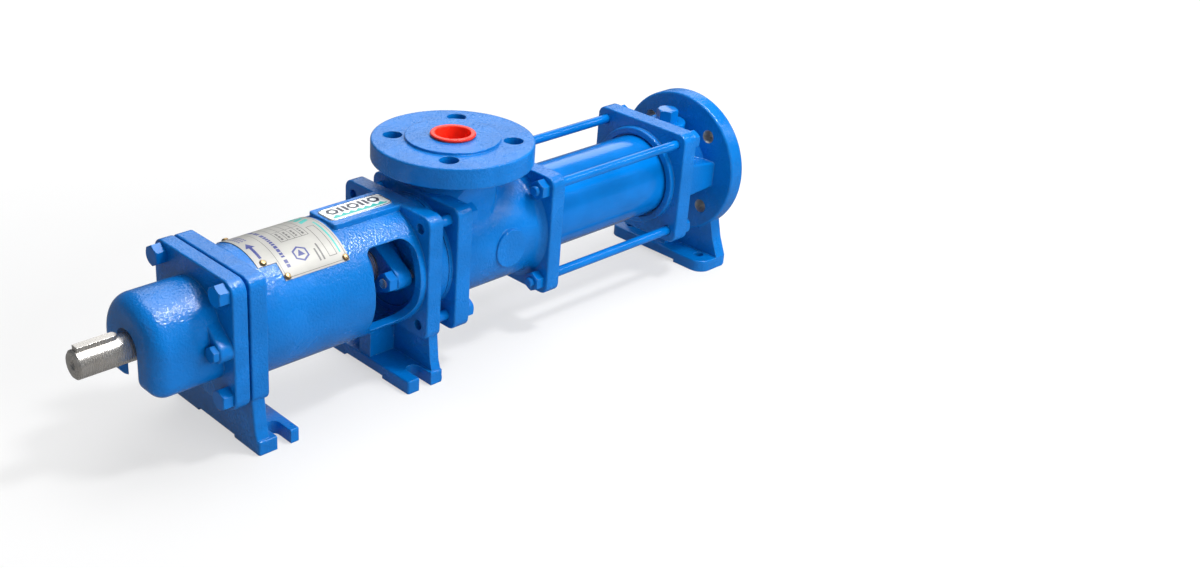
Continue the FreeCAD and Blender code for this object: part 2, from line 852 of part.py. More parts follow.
def inner_ring(x_start):
    """Inner ring of a ball bearing."""
    profile = [
        (x_start, bearing_bore_radius), (x_start, inner_ring_shoulder),
        (x_start + bearing_width, inner_ring_shoulder), (x_start + bearing_width, bearing_bore_radius),
    ]
    return turned(profile).cut(bearing_groove(x_start))


def ball_centres(x_start):
    """Middle of each ball."""
    pitch = (bearing_bore_radius + bearing_outer_radius) / 2
    x = x_start + bearing_width / 2
    return [radial_point(x, 360 / bearing_ball_count * i, pitch) for i in range(bearing_ball_count)]


def bearing_balls(x_start):
    """Balls of one bearing."""
    return Part.makeCompound(
        [Part.makeSphere(bearing_ball_radius, centre) for centre in ball_centres(x_start)]
    )


def bearing_cage(x_start):
    """Ring that keeps the balls apart."""
    pitch = (bearing_bore_radius + bearing_outer_radius) / 2
    start = x_start + (bearing_width - cage_width) / 2
    band = ring_x(pitch + cage_half_depth, pitch - cage_half_depth, start, start + cage_width)
    pocket = bearing_ball_radius + ball_pocket_clearance
    return cut_all(band, [Part.makeSphere(pocket, centre) for centre in ball_centres(x_start)])


def bearing_spacer():
    """Sleeve between the outer rings of the two bearings."""
    start = x_bearing_front + bearing_width
    return ring_x(bearing_outer_radius, bearing_outer_radius - spacer_wall, start, x_bearing_rear)


def bearing_locknut():
    """Slotted nut that clamps the front inner ring on the shaft."""
    start = x_bearing_front - locknut_width
    nut = ring_x(locknut_radius, bearing_bore_radius, start, x_bearing_front)
    slots = []
    for i in range(4):
        slot = box(
            start - 1, start + locknut_width / 2, -2.5, 2.5, axis_height + locknut_radius - 2.5,
            axis_height + 30,
        )
        slots.append(slot.rotate(PUMP_AXIS, AXIS_X, 90 * i))
    return cut_all(nut, slots)


def lip_seal(x_start, outer, shaft):
    """Shaft seal with a rubber lip, open side away from the bearing chamber."""
    lip = shaft + seal_lip_clearance
    end = x_start + seal_width
    profile = [
        (x_start, outer), (end, outer), (end, lip + seal_wall * 1.5),
        (end - seal_wall, lip + seal_wall * 1.5),
        (end - seal_wall, outer - seal_wall), (x_start + seal_wall, outer - seal_wall),
        (x_start + seal_wall, lip + seal_wall), (end - seal_wall * 1.5, lip + seal_wall),
        (end - seal_wall * 1.5, lip), (x_start, lip),
    ]
    return turned(profile)


# Drive shaft and what turns with it

def drive_shaft():
    """Stepped drive shaft with a key seat at its free end and a spigot at the wet end."""
    x_journal = x_cover_front + 3
    x_thread = x_bearing_front - locknut_width
    profile = [
        (x_shaft_end, 0), (x_shaft_end, shaft_radius - shaft_end_chamfer),
        (x_shaft_end + shaft_end_chamfer, shaft_radius), (x_journal, shaft_radius),
        (x_journal, seal_journal_radius), (x_thread, seal_journal_radius), (x_thread, bearing_bore_radius),
        (x_bearing_front + bearing_width, bearing_bore_radius),
        (x_bearing_front + bearing_width, shaft_shoulder_radius),
        (x_bearing_rear, shaft_shoulder_radius), (x_bearing_rear, bearing_bore_radius),
        (x_joint_head, bearing_bore_radius), (x_joint_head, shaft_spigot_radius),
        (x_joint_head + shaft_spigot_length, shaft_spigot_radius), (x_joint_head + shaft_spigot_length, 0),
    ]
    shaft = turned(profile)
    centre_hole = turned(
        [
            (x_shaft_end - 0.01, 0), (x_shaft_end - 0.01, shaft_centre_hole_radius * 1.5),
            (x_shaft_end + shaft_centre_hole_radius, shaft_centre_hole_radius),
            (x_shaft_end + shaft_centre_hole_depth, shaft_centre_hole_radius),
            (x_shaft_end + shaft_centre_hole_depth + shaft_centre_hole_radius * 0.6, 0),
        ]
    )
    return cut_all(shaft, [centre_hole, key_blank(0.0)])


def key_blank(clearance):
    """Round-ended key outline standing in the shaft's top."""
    half = key_width / 2 - clearance
    start = x_shaft_end + key_setback
    end = start + key_length
    bottom = axis_height + shaft_radius - key_seat_depth
    outline = [(start, -half), (end, -half), (end, half), (start, half)]
    return plate_z(outline, bottom, bottom + key_height, [0.6, half * 0.999, half * 0.999, 0.6])


def shaft_key():
    """Parallel key in the free end of the shaft."""
    key = key_blank(0.0)
    top = axis_height + shaft_radius - key_seat_depth + key_height
    return soften(key, 0.4, "Z", top)


def thrower_ring():
    """Ring on the shaft that throws gland drips off before the bearing."""
    end = x_thrower + thrower_width
    profile = [
        (x_thrower, bearing_bore_radius), (x_thrower, thrower_radius - 6),
        (x_thrower + 3, thrower_radius - 6),
        (end - 3, thrower_radius), (end, thrower_radius), (end, bearing_bore_radius),
    ]
    return turned(profile, [0, 1, 2, 0.8, 0.8, 0])


def shaft_joint_head():
    """Cup on the wet end of the shaft that drives the coupling rod."""
    head = disc_x(joint_head_radius, x_joint_head, x_joint_head_back)
    head = soften(head, 1.5, "X", x_joint_head)
    pocket_start = x_joint_head + shaft_spigot_length + joint_head_floor / 2
    tools = [
        disc_x(shaft_spigot_radius, x_joint_head - 1, x_joint_head + shaft_spigot_length),
        disc_x(joint_pocket_radius, pocket_start, x_joint_head_back + 1),
        joint_pin_bar(joint_pin_radius, joint_head_radius + 1, x_front_pin, 0),
    ]
    return cut_all(head, tools)


def joint_pin_bar(radius, half_length, x, y):
    """Upright round bar through a joint."""
    return Part.makeCylinder(radius, 2 * half_length, FreeCAD.Vector(x, y, axis_height - half_length), AXIS_Z)


def shaft_joint_pin():
    """Pin that drives the rod from the shaft's joint head."""
    return joint_pin_bar(joint_pin_radius, joint_head_radius - joint_pin_recess, x_front_pin, 0)


def rotor_joint_pin():
    """Pin that drives the rotor from the coupling rod."""
    return joint_pin_bar(joint_pin_radius, rotor_head_radius - joint_pin_recess, x_rear_pin, eccentricity)


# Coupling rod, boots and rotor

def coupling_rod():
    """Rod between the two pinned joints, tilted by the rotor's eccentricity."""
    reach = coupling_end_reach
    end_length = joint_head_overhang + 1
    profile = [
        (-reach, 0), (-reach, coupling_end_radius), (end_length, coupling_end_radius),
        (end_length + 3, coupling_rod_radius), (coupling_length - end_length - 3, coupling_rod_radius),
        (coupling_length - end_length, coupling_end_radius), (coupling_length + reach, coupling_end_radius),
        (coupling_length + reach, 0),
    ]
    rod = turned(profile, [0, 2, 0, 0, 0, 0, 2, 0], front_pin_point, coupling_direction, coupling_side)
    hole = joint_pin_radius + joint_pin_hole_clearance
    tools = [
        joint_pin_bar(hole, coupling_end_radius + 2, x_front_pin, 0),
        joint_pin_bar(hole, coupling_end_radius + 2, x_rear_pin, eccentricity),
    ]
    return cut_all(rod, tools)


def joint_boot(head_radius, x_head_face, y_axis, direction):
    """Flexible boot that closes one pinned joint: grips the head, cones down and grips the rod."""
    origin = FreeCAD.Vector(x_head_face, y_axis, axis_height)
    along = AXIS_X * direction
    inner = head_radius + boot_clearance
    outer = inner + boot_wall
    neck_outer = coupling_rod_radius + boot_clearance + boot_wall + abs(eccentricity) / 2
    neck_start = boot_cone_length
    neck_end = neck_start + boot_neck_length
    skin = turned(
        [
            (-boot_grip, 0), (-boot_grip, outer), (1, outer),
            (neck_start, neck_outer), (neck_end, neck_outer), (neck_end, 0),
        ],
        [0, 0.8, 5, 4, 0.8, 0], origin, along, AXIS_Z,
    )
    hollow = turned(
        [
            (-boot_grip - 1, 0), (-boot_grip - 1, inner), (0.5, inner),
            (neck_start - 1, neck_outer - boot_wall), (neck_start - 1, 0),
        ],
        [0, 0, 4, 0, 0], origin, along, AXIS_Z,
    )
    rod_hole = Part.makeCylinder(
        coupling_rod_radius + boot_clearance, coupling_length, front_pin_point, coupling_direction
    )
    return cut_all(skin, [hollow, rod_hole])


def rotor():
    """Single-start helical rotor with its joint head; every section is a circle off its own axis."""
    length = x_rotor_end - x_rotor_start
    spine = Part.Wire(Part.makeHelix(rotor_pitch, length, eccentricity).Edges)
    circle = Part.Circle(FreeCAD.Vector(eccentricity, 0, 0), AXIS_Z, rotor_section_radius)
    worm = spine.makePipeShell([Part.Wire([circle.toShape()])], True, True)
    worm.Placement = along_pump(x_rotor_start, eccentricity, 0.0)
    head = disc_x(rotor_head_radius, x_rotor_head, x_rotor_head_back, rotor_axis_point)
    head = soften(head, 1.5, "X", x_rotor_head_back)
    pocket = disc_x(joint_pocket_radius, x_rotor_head - 1, x_rotor_pocket_end, rotor_axis_point)
    neck = disc_x(rotor_neck_radius, x_rotor_head_back - 1, x_rotor_start + 2, rotor_axis_point)
    pin_hole = joint_pin_bar(joint_pin_radius, rotor_head_radius + 1, x_rear_pin, eccentricity)
    return cut_all(join(head, neck, worm), [pocket, pin_hole])


def along_pump(x, y, turn):
    """Placement that lays a part built along Z onto the pump, turned about its axis in degrees."""
    lay_down = FreeCAD.Rotation(FreeCAD.Vector(1, 1, 1), 120)
    spin = FreeCAD.Rotation(AXIS_X, turn)
    return FreeCAD.Placement(FreeCAD.Vector(x, y, axis_height), spin.multiply(lay_down))


def stator_rubber():
    """Rubber lining with a double-start helical cavity of twice the rotor's pitch."""
    overrun = 4.0
    lead = 2 * rotor_pitch
    start = x_stator_start - overrun
    length = x_stator_end - x_stator_start + 2 * overrun
    radius = rotor_section_radius + rotor_clearance
    travel = 2 * eccentricity
    right = FreeCAD.Vector(travel, -radius, 0)
    right_top = FreeCAD.Vector(travel, radius, 0)
    left_top = FreeCAD.Vector(-travel, radius, 0)
    left = FreeCAD.Vector(-travel, -radius, 0)
    outline = Part.Wire(
        [
            Part.Arc(right, FreeCAD.Vector(travel + radius, 0, 0), right_top).toShape(),
            Part.LineSegment(right_top, left_top).toShape(),
            Part.Arc(left_top, FreeCAD.Vector(-travel - radius, 0, 0), left).toShape(),
            Part.LineSegment(left, right).toShape(),
        ]
    )
    spine = Part.Wire(Part.makeHelix(lead, length, travel).Edges)
    cavity = spine.makePipeShell([outline], True, True)
    turn = 360 * (start - x_rotor_start) / lead
    cavity.Placement = along_pump(start, 0, turn)
    lining = disc_x(stator_tube_radius - stator_tube_wall, x_stator_start, x_stator_end)
    return lining.cut(cavity)


def stator_tube():
    """Steel tube round the stator lining."""
    return ring_x(stator_tube_radius, stator_tube_radius - stator_tube_wall, x_stator_start, x_stator_end)


def stator_seals():
    """Flat seal rings at both ends of the stator tube."""
    inner = stator_tube_radius - stator_tube_wall
    return Part.makeCompound(
        [
            ring_x(stator_tube_radius, inner, x_stator_start - stator_seal_width, x_stator_start),
            ring_x(stator_tube_radius, inner, x_stator_end, x_stator_end + stator_seal_width),
        ]
    )


# Stuffing box and gland

def gland_stud_points():
    """Centre of each gland stud."""
    turn = math.radians(gland_tilt)
    points = []
    for side in (-1, 1):
        y = side * gland_stud_offset * math.cos(turn)
        z = axis_height + side * gland_stud_offset * math.sin(turn)
        points.append(FreeCAD.Vector(0, y, z))
    return points


def stuffing_box():
    """Packing chamber clamped between the pedestal and the suction housing."""
    chamber = bearing_bore_radius + packing_width
    suction_bore = suction_barrel_radius - suction_wall
    x_spigot_end = x_suction_front + 4
    profile = [
        (x_box_front, chamber), (x_box_front, stuffing_barrel_radius),
        (x_pedestal_back, stuffing_barrel_radius),
        (x_pedestal_back, stuffing_collar_radius), (x_gasket, stuffing_collar_radius),
        (x_gasket, suction_bore),
        (x_spigot_end, suction_bore), (x_spigot_end, chamber + 8), (x_throat_end, chamber + 8),
        (x_throat_end, bearing_bore_radius + throat_clearance),
        (x_packing_end, bearing_bore_radius + throat_clearance),
        (x_packing_end, chamber),
    ]
    body = turned(profile, [0, 1, 0, 1, 0, 0, 1, 2, 2, 0, 0, 0])
    tools = []
    for point in gland_stud_points():
        tools.append(disc_x(gland_stud_radius, x_box_front - BORE_OVERRUN, x_box_front + gland_stud_depth, point))
    return cut_all(body, tools)


def body_gasket():
    """Thin gasket between the stuffing box and the suction housing."""
    inner = suction_barrel_radius - suction_wall
    return ring_x(stuffing_collar_radius - 2, inner, x_gasket, x_collar)


def packing_rings():
    """Soft packing rings round the shaft; the lantern ring sits between the second and the last."""
    rings = []
    for slot in (0, 1, packing_count):
        start = x_nose_end + slot * packing_width
        outer = bearing_bore_radius + packing_width
        rings.append(ring_x(outer, bearing_bore_radius + packing_clearance, start, start + packing_width))
    return Part.makeCompound(rings)


def lantern_ring():
    """Grooved ring that spreads flushing liquid in the packing."""
    start = x_nose_end + (packing_count - 1) * packing_width
    outer = bearing_bore_radius + packing_width
    ring = ring_x(outer, bearing_bore_radius + throat_clearance, start, start + packing_width)
    middle = start + packing_width / 2
    groove = ring_x(outer + 1, outer - 2, middle - 2, middle + 2)
    holes = [radial_pin(middle, 90 * i, 1.5, bearing_bore_radius - 2, outer + 1) for i in range(4)]
    return cut_all(ring, [groove] + holes)


def gland_follower():
    """Two-lobed gland flange with the nose that presses on the packing."""
    reach = math.acos((gland_body_radius - gland_lobe_radius) / gland_stud_offset)
    body = disc_x(gland_body_radius, x_gland_front, x_gland_back)
    pieces = []
    for point in gland_stud_points():
        heading = math.atan2(point.z - axis_height, point.y)
        outline = []
        for turn in (reach, -reach):
            outline.append(
                (
                    gland_body_radius * math.cos(heading + turn),
                    axis_height + gland_body_radius * math.sin(heading + turn),
                )
            )
        for turn in (-reach, reach):
            outline.append(
                (
                    point.y + gland_lobe_radius * math.cos(heading + turn),
                    point.z + gland_lobe_radius * math.sin(heading + turn),
                )
            )
        pieces.append(plate_x(outline, x_gland_front, x_gland_back))
        pieces.append(disc_x(gland_lobe_radius, x_gland_front, x_gland_back, point))
    plate = soften(join(body, *pieces), 1.2, "X", x_gland_front)
    nose = disc_x(bearing_bore_radius + packing_width - stuffing_fit_clearance, x_gland_back - 1, x_nose_end)
    tools = [disc_x(bearing_bore_radius + throat_clearance, x_gland_front - 1, x_nose_end + 1)]
    for point in gland_stud_points():
        tools.append(disc_x(gland_stud_radius + gland_clearance, x_gland_front - 1, x_gland_back + 1, point))
    return cut_all(join(plate, nose), tools)


def gland_studs():
    """Two studs screwed into the stuffing box."""
    end = x_box_front + gland_stud_depth
    start = x_gland_front - nut_height - gland_stud_proud
    return Part.makeCompound([disc_x(gland_stud_radius, start, end, point) for point in gland_stud_points()])


def gland_nuts():
    """Nuts that draw the gland follower in."""
    nuts = []
    for point in gland_stud_points():
        seat = FreeCAD.Vector(x_gland_front, point.y, point.z)
        nuts.append(hexagon(gland_nut_across_flats, seat, AXIS_X * -1, nut_height, gland_stud_radius + 0.05))
    return Part.makeCompound(nuts)


# Suction housing

def bolt_circle_z(radius, pitch_radius, x_centre, start, end):
    """Upright bars on the port flange's bolt circle, straddling the centre lines."""
    bars = []
    for i in range(flange_hole_count):
        turn = math.radians(360 / flange_hole_count * (i + 0.5))
        x = x_centre + pitch_radius * math.cos(turn)
        y = pitch_radius * math.sin(turn)
        bars.append(Part.makeCylinder(radius, end - start, FreeCAD.Vector(x, y, start), AXIS_Z))
    return bars


def suction_neck():
    """Flared neck between the barrel and the port flange."""
    top = suction_flange_height - suction_flange_thickness / 2
    blend = axis_height + body_half_width - 4
    trumpet = turned(
        [
            (axis_height, 0), (axis_height, suction_front_reach - 1), (blend, suction_front_reach - 2),
            (blend + 12, suction_neck_radius), (top, suction_neck_radius), (top, 0),
        ],
        [0, 0, 0, 12, 0, 0], FreeCAD.Vector(x_suction, 0, 0), AXIS_Z, AXIS_X,
    )
    turn = math.radians(flare_angle)
    low_y = suction_barrel_radius * math.cos(turn)
    low_z = axis_height + suction_barrel_radius * math.sin(turn)
    bend_z = low_z + (low_y - suction_neck_radius) / math.tan(turn)
    outline = [
        (-suction_neck_radius, top + 1), (-suction_neck_radius, bend_z), (-low_y, low_z),
        (-low_y, axis_height),
        (low_y, axis_height), (low_y, low_z), (suction_neck_radius, bend_z), (suction_neck_radius, top + 1),
    ]
    reach = suction_front_reach + 5
    sides = plate_x(
        outline, x_suction - reach, x_suction + reach, [0, flare_top_round, 0, 0, 0, 0, flare_top_round, 0]
    )
    return trumpet.common(sides)


def suction_housing():
    """Suction casting: two square flanges, barrel, neck and round port flange."""
    front_end = x_suction_front + suction_front_flange
    rear_start = x_suction_back - suction_rear_flange
    front = square_flange(body_half_width, body_corner_radius, x_suction_front, front_end)
    rear = square_flange(body_half_width, body_corner_radius, rear_start, x_suction_back)
    collar = disc_x(stuffing_collar_radius, x_collar, x_suction_front + 2)
    barrel = turned(
        [
            (front_end - 3, 0), (front_end - 3, suction_barrel_radius + 5),
            (front_end, suction_barrel_radius + 5),
            (front_end + 5, suction_barrel_radius), (rear_start - 5, suction_barrel_radius),
            (rear_start, suction_barrel_radius + 5), (rear_start + 3, suction_barrel_radius + 5),
            (rear_start + 3, 0),
        ],
        [0, 0, 0, 5, 5, 0, 0, 0],
    )
    flange_low = suction_flange_height - suction_flange_thickness
    port = turned(
        [
            (flange_low, 0), (flange_low, suction_flange_radius),
            (suction_flange_height, suction_flange_radius),
            (suction_flange_height, suction_face_radius),
            (suction_flange_height + raised_face_height, suction_face_radius),
            (suction_flange_height + raised_face_height, 0),
        ],
        [0, 2.5, 2.0, 0, 0.5, 0], FreeCAD.Vector(x_suction, 0, 0), AXIS_Z, AXIS_X,
    )
    boss_base = FreeCAD.Vector(
        x_suction + blank_boss_setback, -suction_barrel_radius - blank_boss_height, axis_height
    )
    boss = Part.makeCylinder(blank_boss_radius, 8, boss_base, AXIS_Y)
    boss = soften(boss, 0.8, "Y", -suction_barrel_radius - blank_boss_height)
    drain_x = x_suction + drain_boss_setback
    drain_base = FreeCAD.Vector(drain_x, 0, axis_height - drain_boss_reach)
    drain = Part.makeCylinder(
        drain_boss_radius, drain_boss_reach - suction_barrel_radius + 8, drain_base, AXIS_Z
    )
    body = join(front, rear, collar, barrel, suction_neck(), port, boss, drain)
    bore = suction_barrel_radius - suction_wall
    seat = stator_tube_radius + stator_seat_clearance
    port_height = suction_flange_height + raised_face_height - axis_height + BORE_OVERRUN
    tools = [
        disc_x(bore, x_collar - 1, rear_start),
        disc_x(stator_tube_radius - stator_tube_wall, rear_start - 1, x_suction_back + 1),
        disc_x(seat, x_stator_start - stator_seal_width, x_suction_back + 1),
        Part.makeCylinder(port_bore_radius, port_height, FreeCAD.Vector(x_suction, 0, axis_height), AXIS_Z),
        Part.makeCylinder(drain_plug_radius, drain_boss_reach, drain_base, AXIS_Z),
    ]
    tools.extend(
        bolt_circle_z(
            flange_hole_radius, flange_pitch_radius, x_suction, flange_low - 1, suction_flange_height + 1
        ),
    )
    tools.extend(corner_holes(bolt_radius + bolt_clearance, x_suction_front - 1, front_end + 1))
    tools.extend(corner_holes(tie_rod_radius + bolt_clearance, rear_start - 1, x_suction_back + 1))
    return cut_all(body, tools)


def body_bolts():
    """Four bolts that draw the suction housing to the pedestal."""
    seat = x_suction_front + suction_front_flange
    length = seat - x_pedestal_back + pedestal_rear_flange - 5
    return corner_bolts(seat, 1, length)


def drain_plug():
    """Hexagon plug under the suction housing."""
    seat = FreeCAD.Vector(x_suction + drain_boss_setback, 0, axis_height - drain_boss_reach)
    head = hexagon(drain_plug_across_flats, seat, AXIS_Z * -1, drain_plug_head)
    return join(head, Part.makeCylinder(drain_plug_radius, 10, seat, AXIS_Z))


def suction_port_plug():
    """Hollow plastic plug pushed into the suction port."""
    face = suction_flange_height + raised_face_height
    stem = port_bore_radius - plug_fit_clearance
    inside = stem - plug_wall
    top = face + plug_lip_height
    profile = [
        (face - plug_depth, 0), (face - plug_depth, stem - 1), (face, stem),
        (face, plug_lip_radius - plug_lip_flare),
        (face + 1.2, plug_lip_radius), (top, plug_lip_radius), (top, inside),
        (face - plug_depth + plug_floor, inside - 1.5),
        (face - plug_depth + plug_floor, 0),
    ]
    return turned(
        profile, [0, 1.5, 0, 0, 0.6, 1.2, 1.2, 1.5, 0], FreeCAD.Vector(x_suction, 0, 0), AXIS_Z, AXIS_X
    )


# Discharge housing

def discharge_housing():
    """Discharge casting: square end plate, neck, round port flange, foot, gauge boss and side block."""
    plate = square_flange(discharge_half_width, body_corner_radius, x_discharge_plate, x_plate_back)
    collar_start = x_discharge_plate - stator_collar_height
    collar = disc_x(stator_collar_radius, collar_start, x_discharge_plate + 2)
    collar = soften(collar, 1.8, "X", collar_start)
    neck = turned(
        [
            (x_plate_back - 2, 0), (x_plate_back - 2, discharge_neck_radius + 8),
            (x_plate_back, discharge_neck_radius + 8),
            (x_plate_back + 8, discharge_neck_radius), (x_port_back - 8, discharge_neck_radius),
            (x_port_back, discharge_neck_radius + 8), (x_port_back + 2, discharge_neck_radius + 8),
            (x_port_back + 2, 0),
        ],
        [0, 0, 0, 8, 8, 0, 0, 0],
    )
    flange = turned(
        [
            (x_port_back, 0), (x_port_back, suction_flange_radius), (x_port_front, suction_flange_radius),
            (x_port_front, suction_face_radius), (x_port_face, suction_face_radius), (x_port_face, 0),
        ],
        [0, 2.5, 2.0, 0, 0.5, 0],
    )
    foot = discharge_foot()
    top_seat = FreeCAD.Vector((x_plate_back + x_port_back) / 2, 0, axis_height)
    top_boss = Part.makeCylinder(gauge_boss_radius, gauge_boss_reach, top_seat, AXIS_Z)
    top_boss = soften(top_boss, plate_edge_round, "Z", axis_height + gauge_boss_reach)
    side_block = plate_y(
        [
            (x_plate_back - 2, axis_height - side_block_plate_drop),
            (x_port_back + 2, axis_height - side_block_flange_drop),
            (x_port_back + 2, axis_height + side_block_flange_rise),
            (x_plate_back - 2, axis_height + side_block_plate_rise),
        ],
        -side_block_reach, 0,
    )
    side_block = soften(side_block, side_block_round, "Y", -side_block_reach)
    body = join(plate, collar, neck, flange, foot, top_boss, side_block)
    seat = stator_tube_radius + stator_seat_clearance
    chamber_end = x_plate_back + discharge_neck_length * 0.3
    passage = turned(
        [
            (x_stator_end, 0), (x_stator_end, discharge_chamber_radius),
            (chamber_end, discharge_chamber_radius),
            (x_port_back, port_bore_radius), (x_port_face + 1, port_bore_radius), (x_port_face + 1, 0),
        ]
    )
    recess = stator_tube_radius + stator_recess_width
    tools = [
        disc_x(seat, collar_start - 1, x_stator_end + stator_seal_width), passage,
        disc_x(recess, collar_start - 1, collar_start + stator_recess_depth),
        Part.makeCylinder(gauge_plug_radius, gauge_boss_reach + 1, top_seat, AXIS_Z),
    ]
    tools.extend(corner_holes(tie_rod_radius + bolt_clearance, x_discharge_plate - 1, x_plate_back + 1))
    for i in range(flange_hole_count):
        angle = 360 / flange_hole_count * (i + 0.5)
        centre = radial_point(0, angle, flange_pitch_radius)
        tools.append(disc_x(discharge_hole_radius, x_port_back - 1, x_port_face + 1, centre))
    for side in (-1, 1):
        base = FreeCAD.Vector(x_foot_hole, side * discharge_foot_hole_offset, -1)
        tools.append(Part.makeCylinder(discharge_foot_hole_radius, discharge_foot_height + 2, base, AXIS_Z))
    tools.append(sole_relief(x_port_front - discharge_foot_length - 5, x_port_face + 5))
    return cut_all(body, tools)


def discharge_foot():
    """Leg and foot plate under the discharge flange."""
    leg_top = axis_height - suction_flange_radius * 0.62
    half = discharge_foot_half_width
    top_half = suction_flange_radius * 0.68
    outline = [
        (-half, 0), (half, 0), (half, discharge_foot_height), (half - 8, discharge_foot_height * 2.6),
        (top_half, leg_top), (-top_half, leg_top), (-half + 8, discharge_foot_height * 2.6),
        (-half, discharge_foot_height),
    ]
    leg = plate_x(
        outline, x_port_front - discharge_leg_thickness, x_port_front - 0.4, [2, 2, 3, 12, 0, 0, 12, 3]
    )
    start = x_port_front - discharge_foot_length
    end = x_port_front - 0.6
    plan = [(start, -half), (end, -half), (end, half), (start, half)]
    plate = plate_z(plan, 0, discharge_foot_height, [discharge_foot_round, 2, 2, discharge_foot_round])
    plate = soften(plate, 1.5, "Z", discharge_foot_height)
    web = plate_y(
        [
            (start + 6, discharge_foot_height - 2), (x_port_front - 4, discharge_foot_height - 2),
            (x_port_front - 4, axis_height - suction_flange_radius + 12),
            (x_port_back - 2, axis_height - suction_flange_radius + 12),
        ],
        -web_thickness / 2, web_thickness / 2,
    )
    return join(leg, plate, web)


def top_gauge_plug():
    """Hexagon plug of the gauge boss."""
    seat = FreeCAD.Vector((x_plate_back + x_port_back) / 2, 0, axis_height + gauge_boss_reach)
    head = hexagon(gauge_plug_across_flats, seat, AXIS_Z, gauge_plug_head)
    stem = Part.makeCylinder(gauge_plug_radius, gauge_plug_depth, seat, AXIS_Z * -1)
    return join(head, stem)


# Tie rods

def tie_rods():
    """Four rods that clamp the stator between the two castings."""
    start = x_suction_back - suction_rear_flange - nut_height - nut_stud_proud
    end = x_plate_back + nut_height + nut_stud_proud
    rods = []
    for point in corner_points():
        rod = disc_x(tie_rod_radius, start, end, point)
        rods.append(rod.makeChamfer(0.8, edges_at(rod, "X", start) + edges_at(rod, "X", end)))
    return Part.makeCompound(rods)


def rod_nuts(x_seat, outward):
    """Nuts on one end of the tie rods."""
    nuts = []
    for point in corner_points():
        seat = FreeCAD.Vector(x_seat, point.y, point.z)
        nuts.append(hexagon(bolt_across_flats, seat, AXIS_X * outward, nut_height, tie_rod_radius))
    return Part.makeCompound(nuts)


PARTS = {
    "pedestal": pedestal,
    "drive_end_cover": drive_end_cover,
    "cover_corner_bolts": cover_corner_bolts,
    "cover_ear_bolts": cover_ear_bolts,
    "front_bearing_outer_ring": lambda: outer_ring(x_bearing_front),
    "front_bearing_inner_ring": lambda: inner_ring(x_bearing_front),
    "front_bearing_balls": lambda: bearing_balls(x_bearing_front),
    "front_bearing_cage": lambda: bearing_cage(x_bearing_front),
    "rear_bearing_outer_ring": lambda: outer_ring(x_bearing_rear),
    "rear_bearing_inner_ring": lambda: inner_ring(x_bearing_rear),
    "rear_bearing_balls": lambda: bearing_balls(x_bearing_rear),
    "rear_bearing_cage": lambda: bearing_cage(x_bearing_rear),
    "bearing_spacer": bearing_spacer,
    "bearing_locknut": bearing_locknut,
    "front_lip_seal": lambda: lip_seal(x_cover_back - seal_width, front_seal_radius, seal_journal_radius),
    "rear_lip_seal": lambda: lip_seal(x_chamber_front - seal_width, rear_seal_radius, bearing_bore_radius),
    "nameplate": nameplate,
    "nameplate_screws": nameplate_screws,
    "badge_plate": badge_plate,
    "drive_shaft": drive_shaft,
    "shaft_key": shaft_key,
    "thrower_ring": thrower_ring,
    "shaft_joint_head": shaft_joint_head,
    "shaft_joint_pin": shaft_joint_pin,
    "shaft_joint_boot": lambda: joint_boot(joint_head_radius, x_joint_head_back, 0, 1),
    "coupling_rod": coupling_rod,
    "rotor": rotor,
    "rotor_joint_pin": rotor_joint_pin,
    "rotor_joint_boot": lambda: joint_boot(rotor_head_radius, x_rotor_head, eccentricity, -1),
    "stuffing_box": stuffing_box,
    "body_gasket": body_gasket,
    "packing_rings": packing_rings,
    "lantern_ring": lantern_ring,
    "gland_follower": gland_follower,
    "gland_studs": gland_studs,
    "gland_nuts": gland_nuts,
    "suction_housing": suction_housing,
    "body_bolts": body_bolts,
    "drain_plug": drain_plug,
    "suction_port_plug": suction_port_plug,
    "stator_tube": stator_tube,
    "stator_rubber": stator_rubber,
    "stator_seals": stator_seals,
    "discharge_housing": discharge_housing,
    "top_gauge_plug": top_gauge_plug,
    "tie_rods": tie_rods,
    "suction_rod_nuts": lambda: rod_nuts(x_suction_back - suction_rear_flange, -1),
    "discharge_rod_nuts": lambda: rod_nuts(x_plate_back, 1),
}

os.makedirs("parts", exist_ok=True)
for name, make in PARTS.items():
    make().exportStep("parts/" + name + ".step")
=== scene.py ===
"""Looks of the progressive cavity pump: finishes, printed plates, threads, studio and camera.

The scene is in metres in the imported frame: +X runs along the pump axis from the drive end to the
discharge flange, +Z is up, and the feet stand on z = 0. Plate, badge and threads keep their own
sizes in millimetres, which MM turns into metres.
"""

import json
import logging
import math
from dataclasses import dataclass, field
from enum import Enum
from random import Random
from typing import Callable, Iterable, Sequence

import bmesh
import bpy
from mathutils import Matrix, Vector


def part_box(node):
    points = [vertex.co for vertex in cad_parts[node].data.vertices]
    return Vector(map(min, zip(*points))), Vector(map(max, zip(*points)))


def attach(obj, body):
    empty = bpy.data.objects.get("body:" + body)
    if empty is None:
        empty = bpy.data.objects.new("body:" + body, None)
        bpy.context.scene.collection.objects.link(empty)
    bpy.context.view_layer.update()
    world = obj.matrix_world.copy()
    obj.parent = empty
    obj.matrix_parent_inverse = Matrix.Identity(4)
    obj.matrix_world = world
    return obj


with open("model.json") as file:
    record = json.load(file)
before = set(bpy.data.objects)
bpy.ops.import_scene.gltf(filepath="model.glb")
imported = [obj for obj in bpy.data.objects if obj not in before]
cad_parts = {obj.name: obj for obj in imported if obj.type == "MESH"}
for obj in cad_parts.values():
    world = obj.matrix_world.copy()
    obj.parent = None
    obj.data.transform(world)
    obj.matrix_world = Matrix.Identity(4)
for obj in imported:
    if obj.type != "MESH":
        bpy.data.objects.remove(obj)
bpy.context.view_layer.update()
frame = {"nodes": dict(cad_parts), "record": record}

LOG = logging.getLogger("pump")
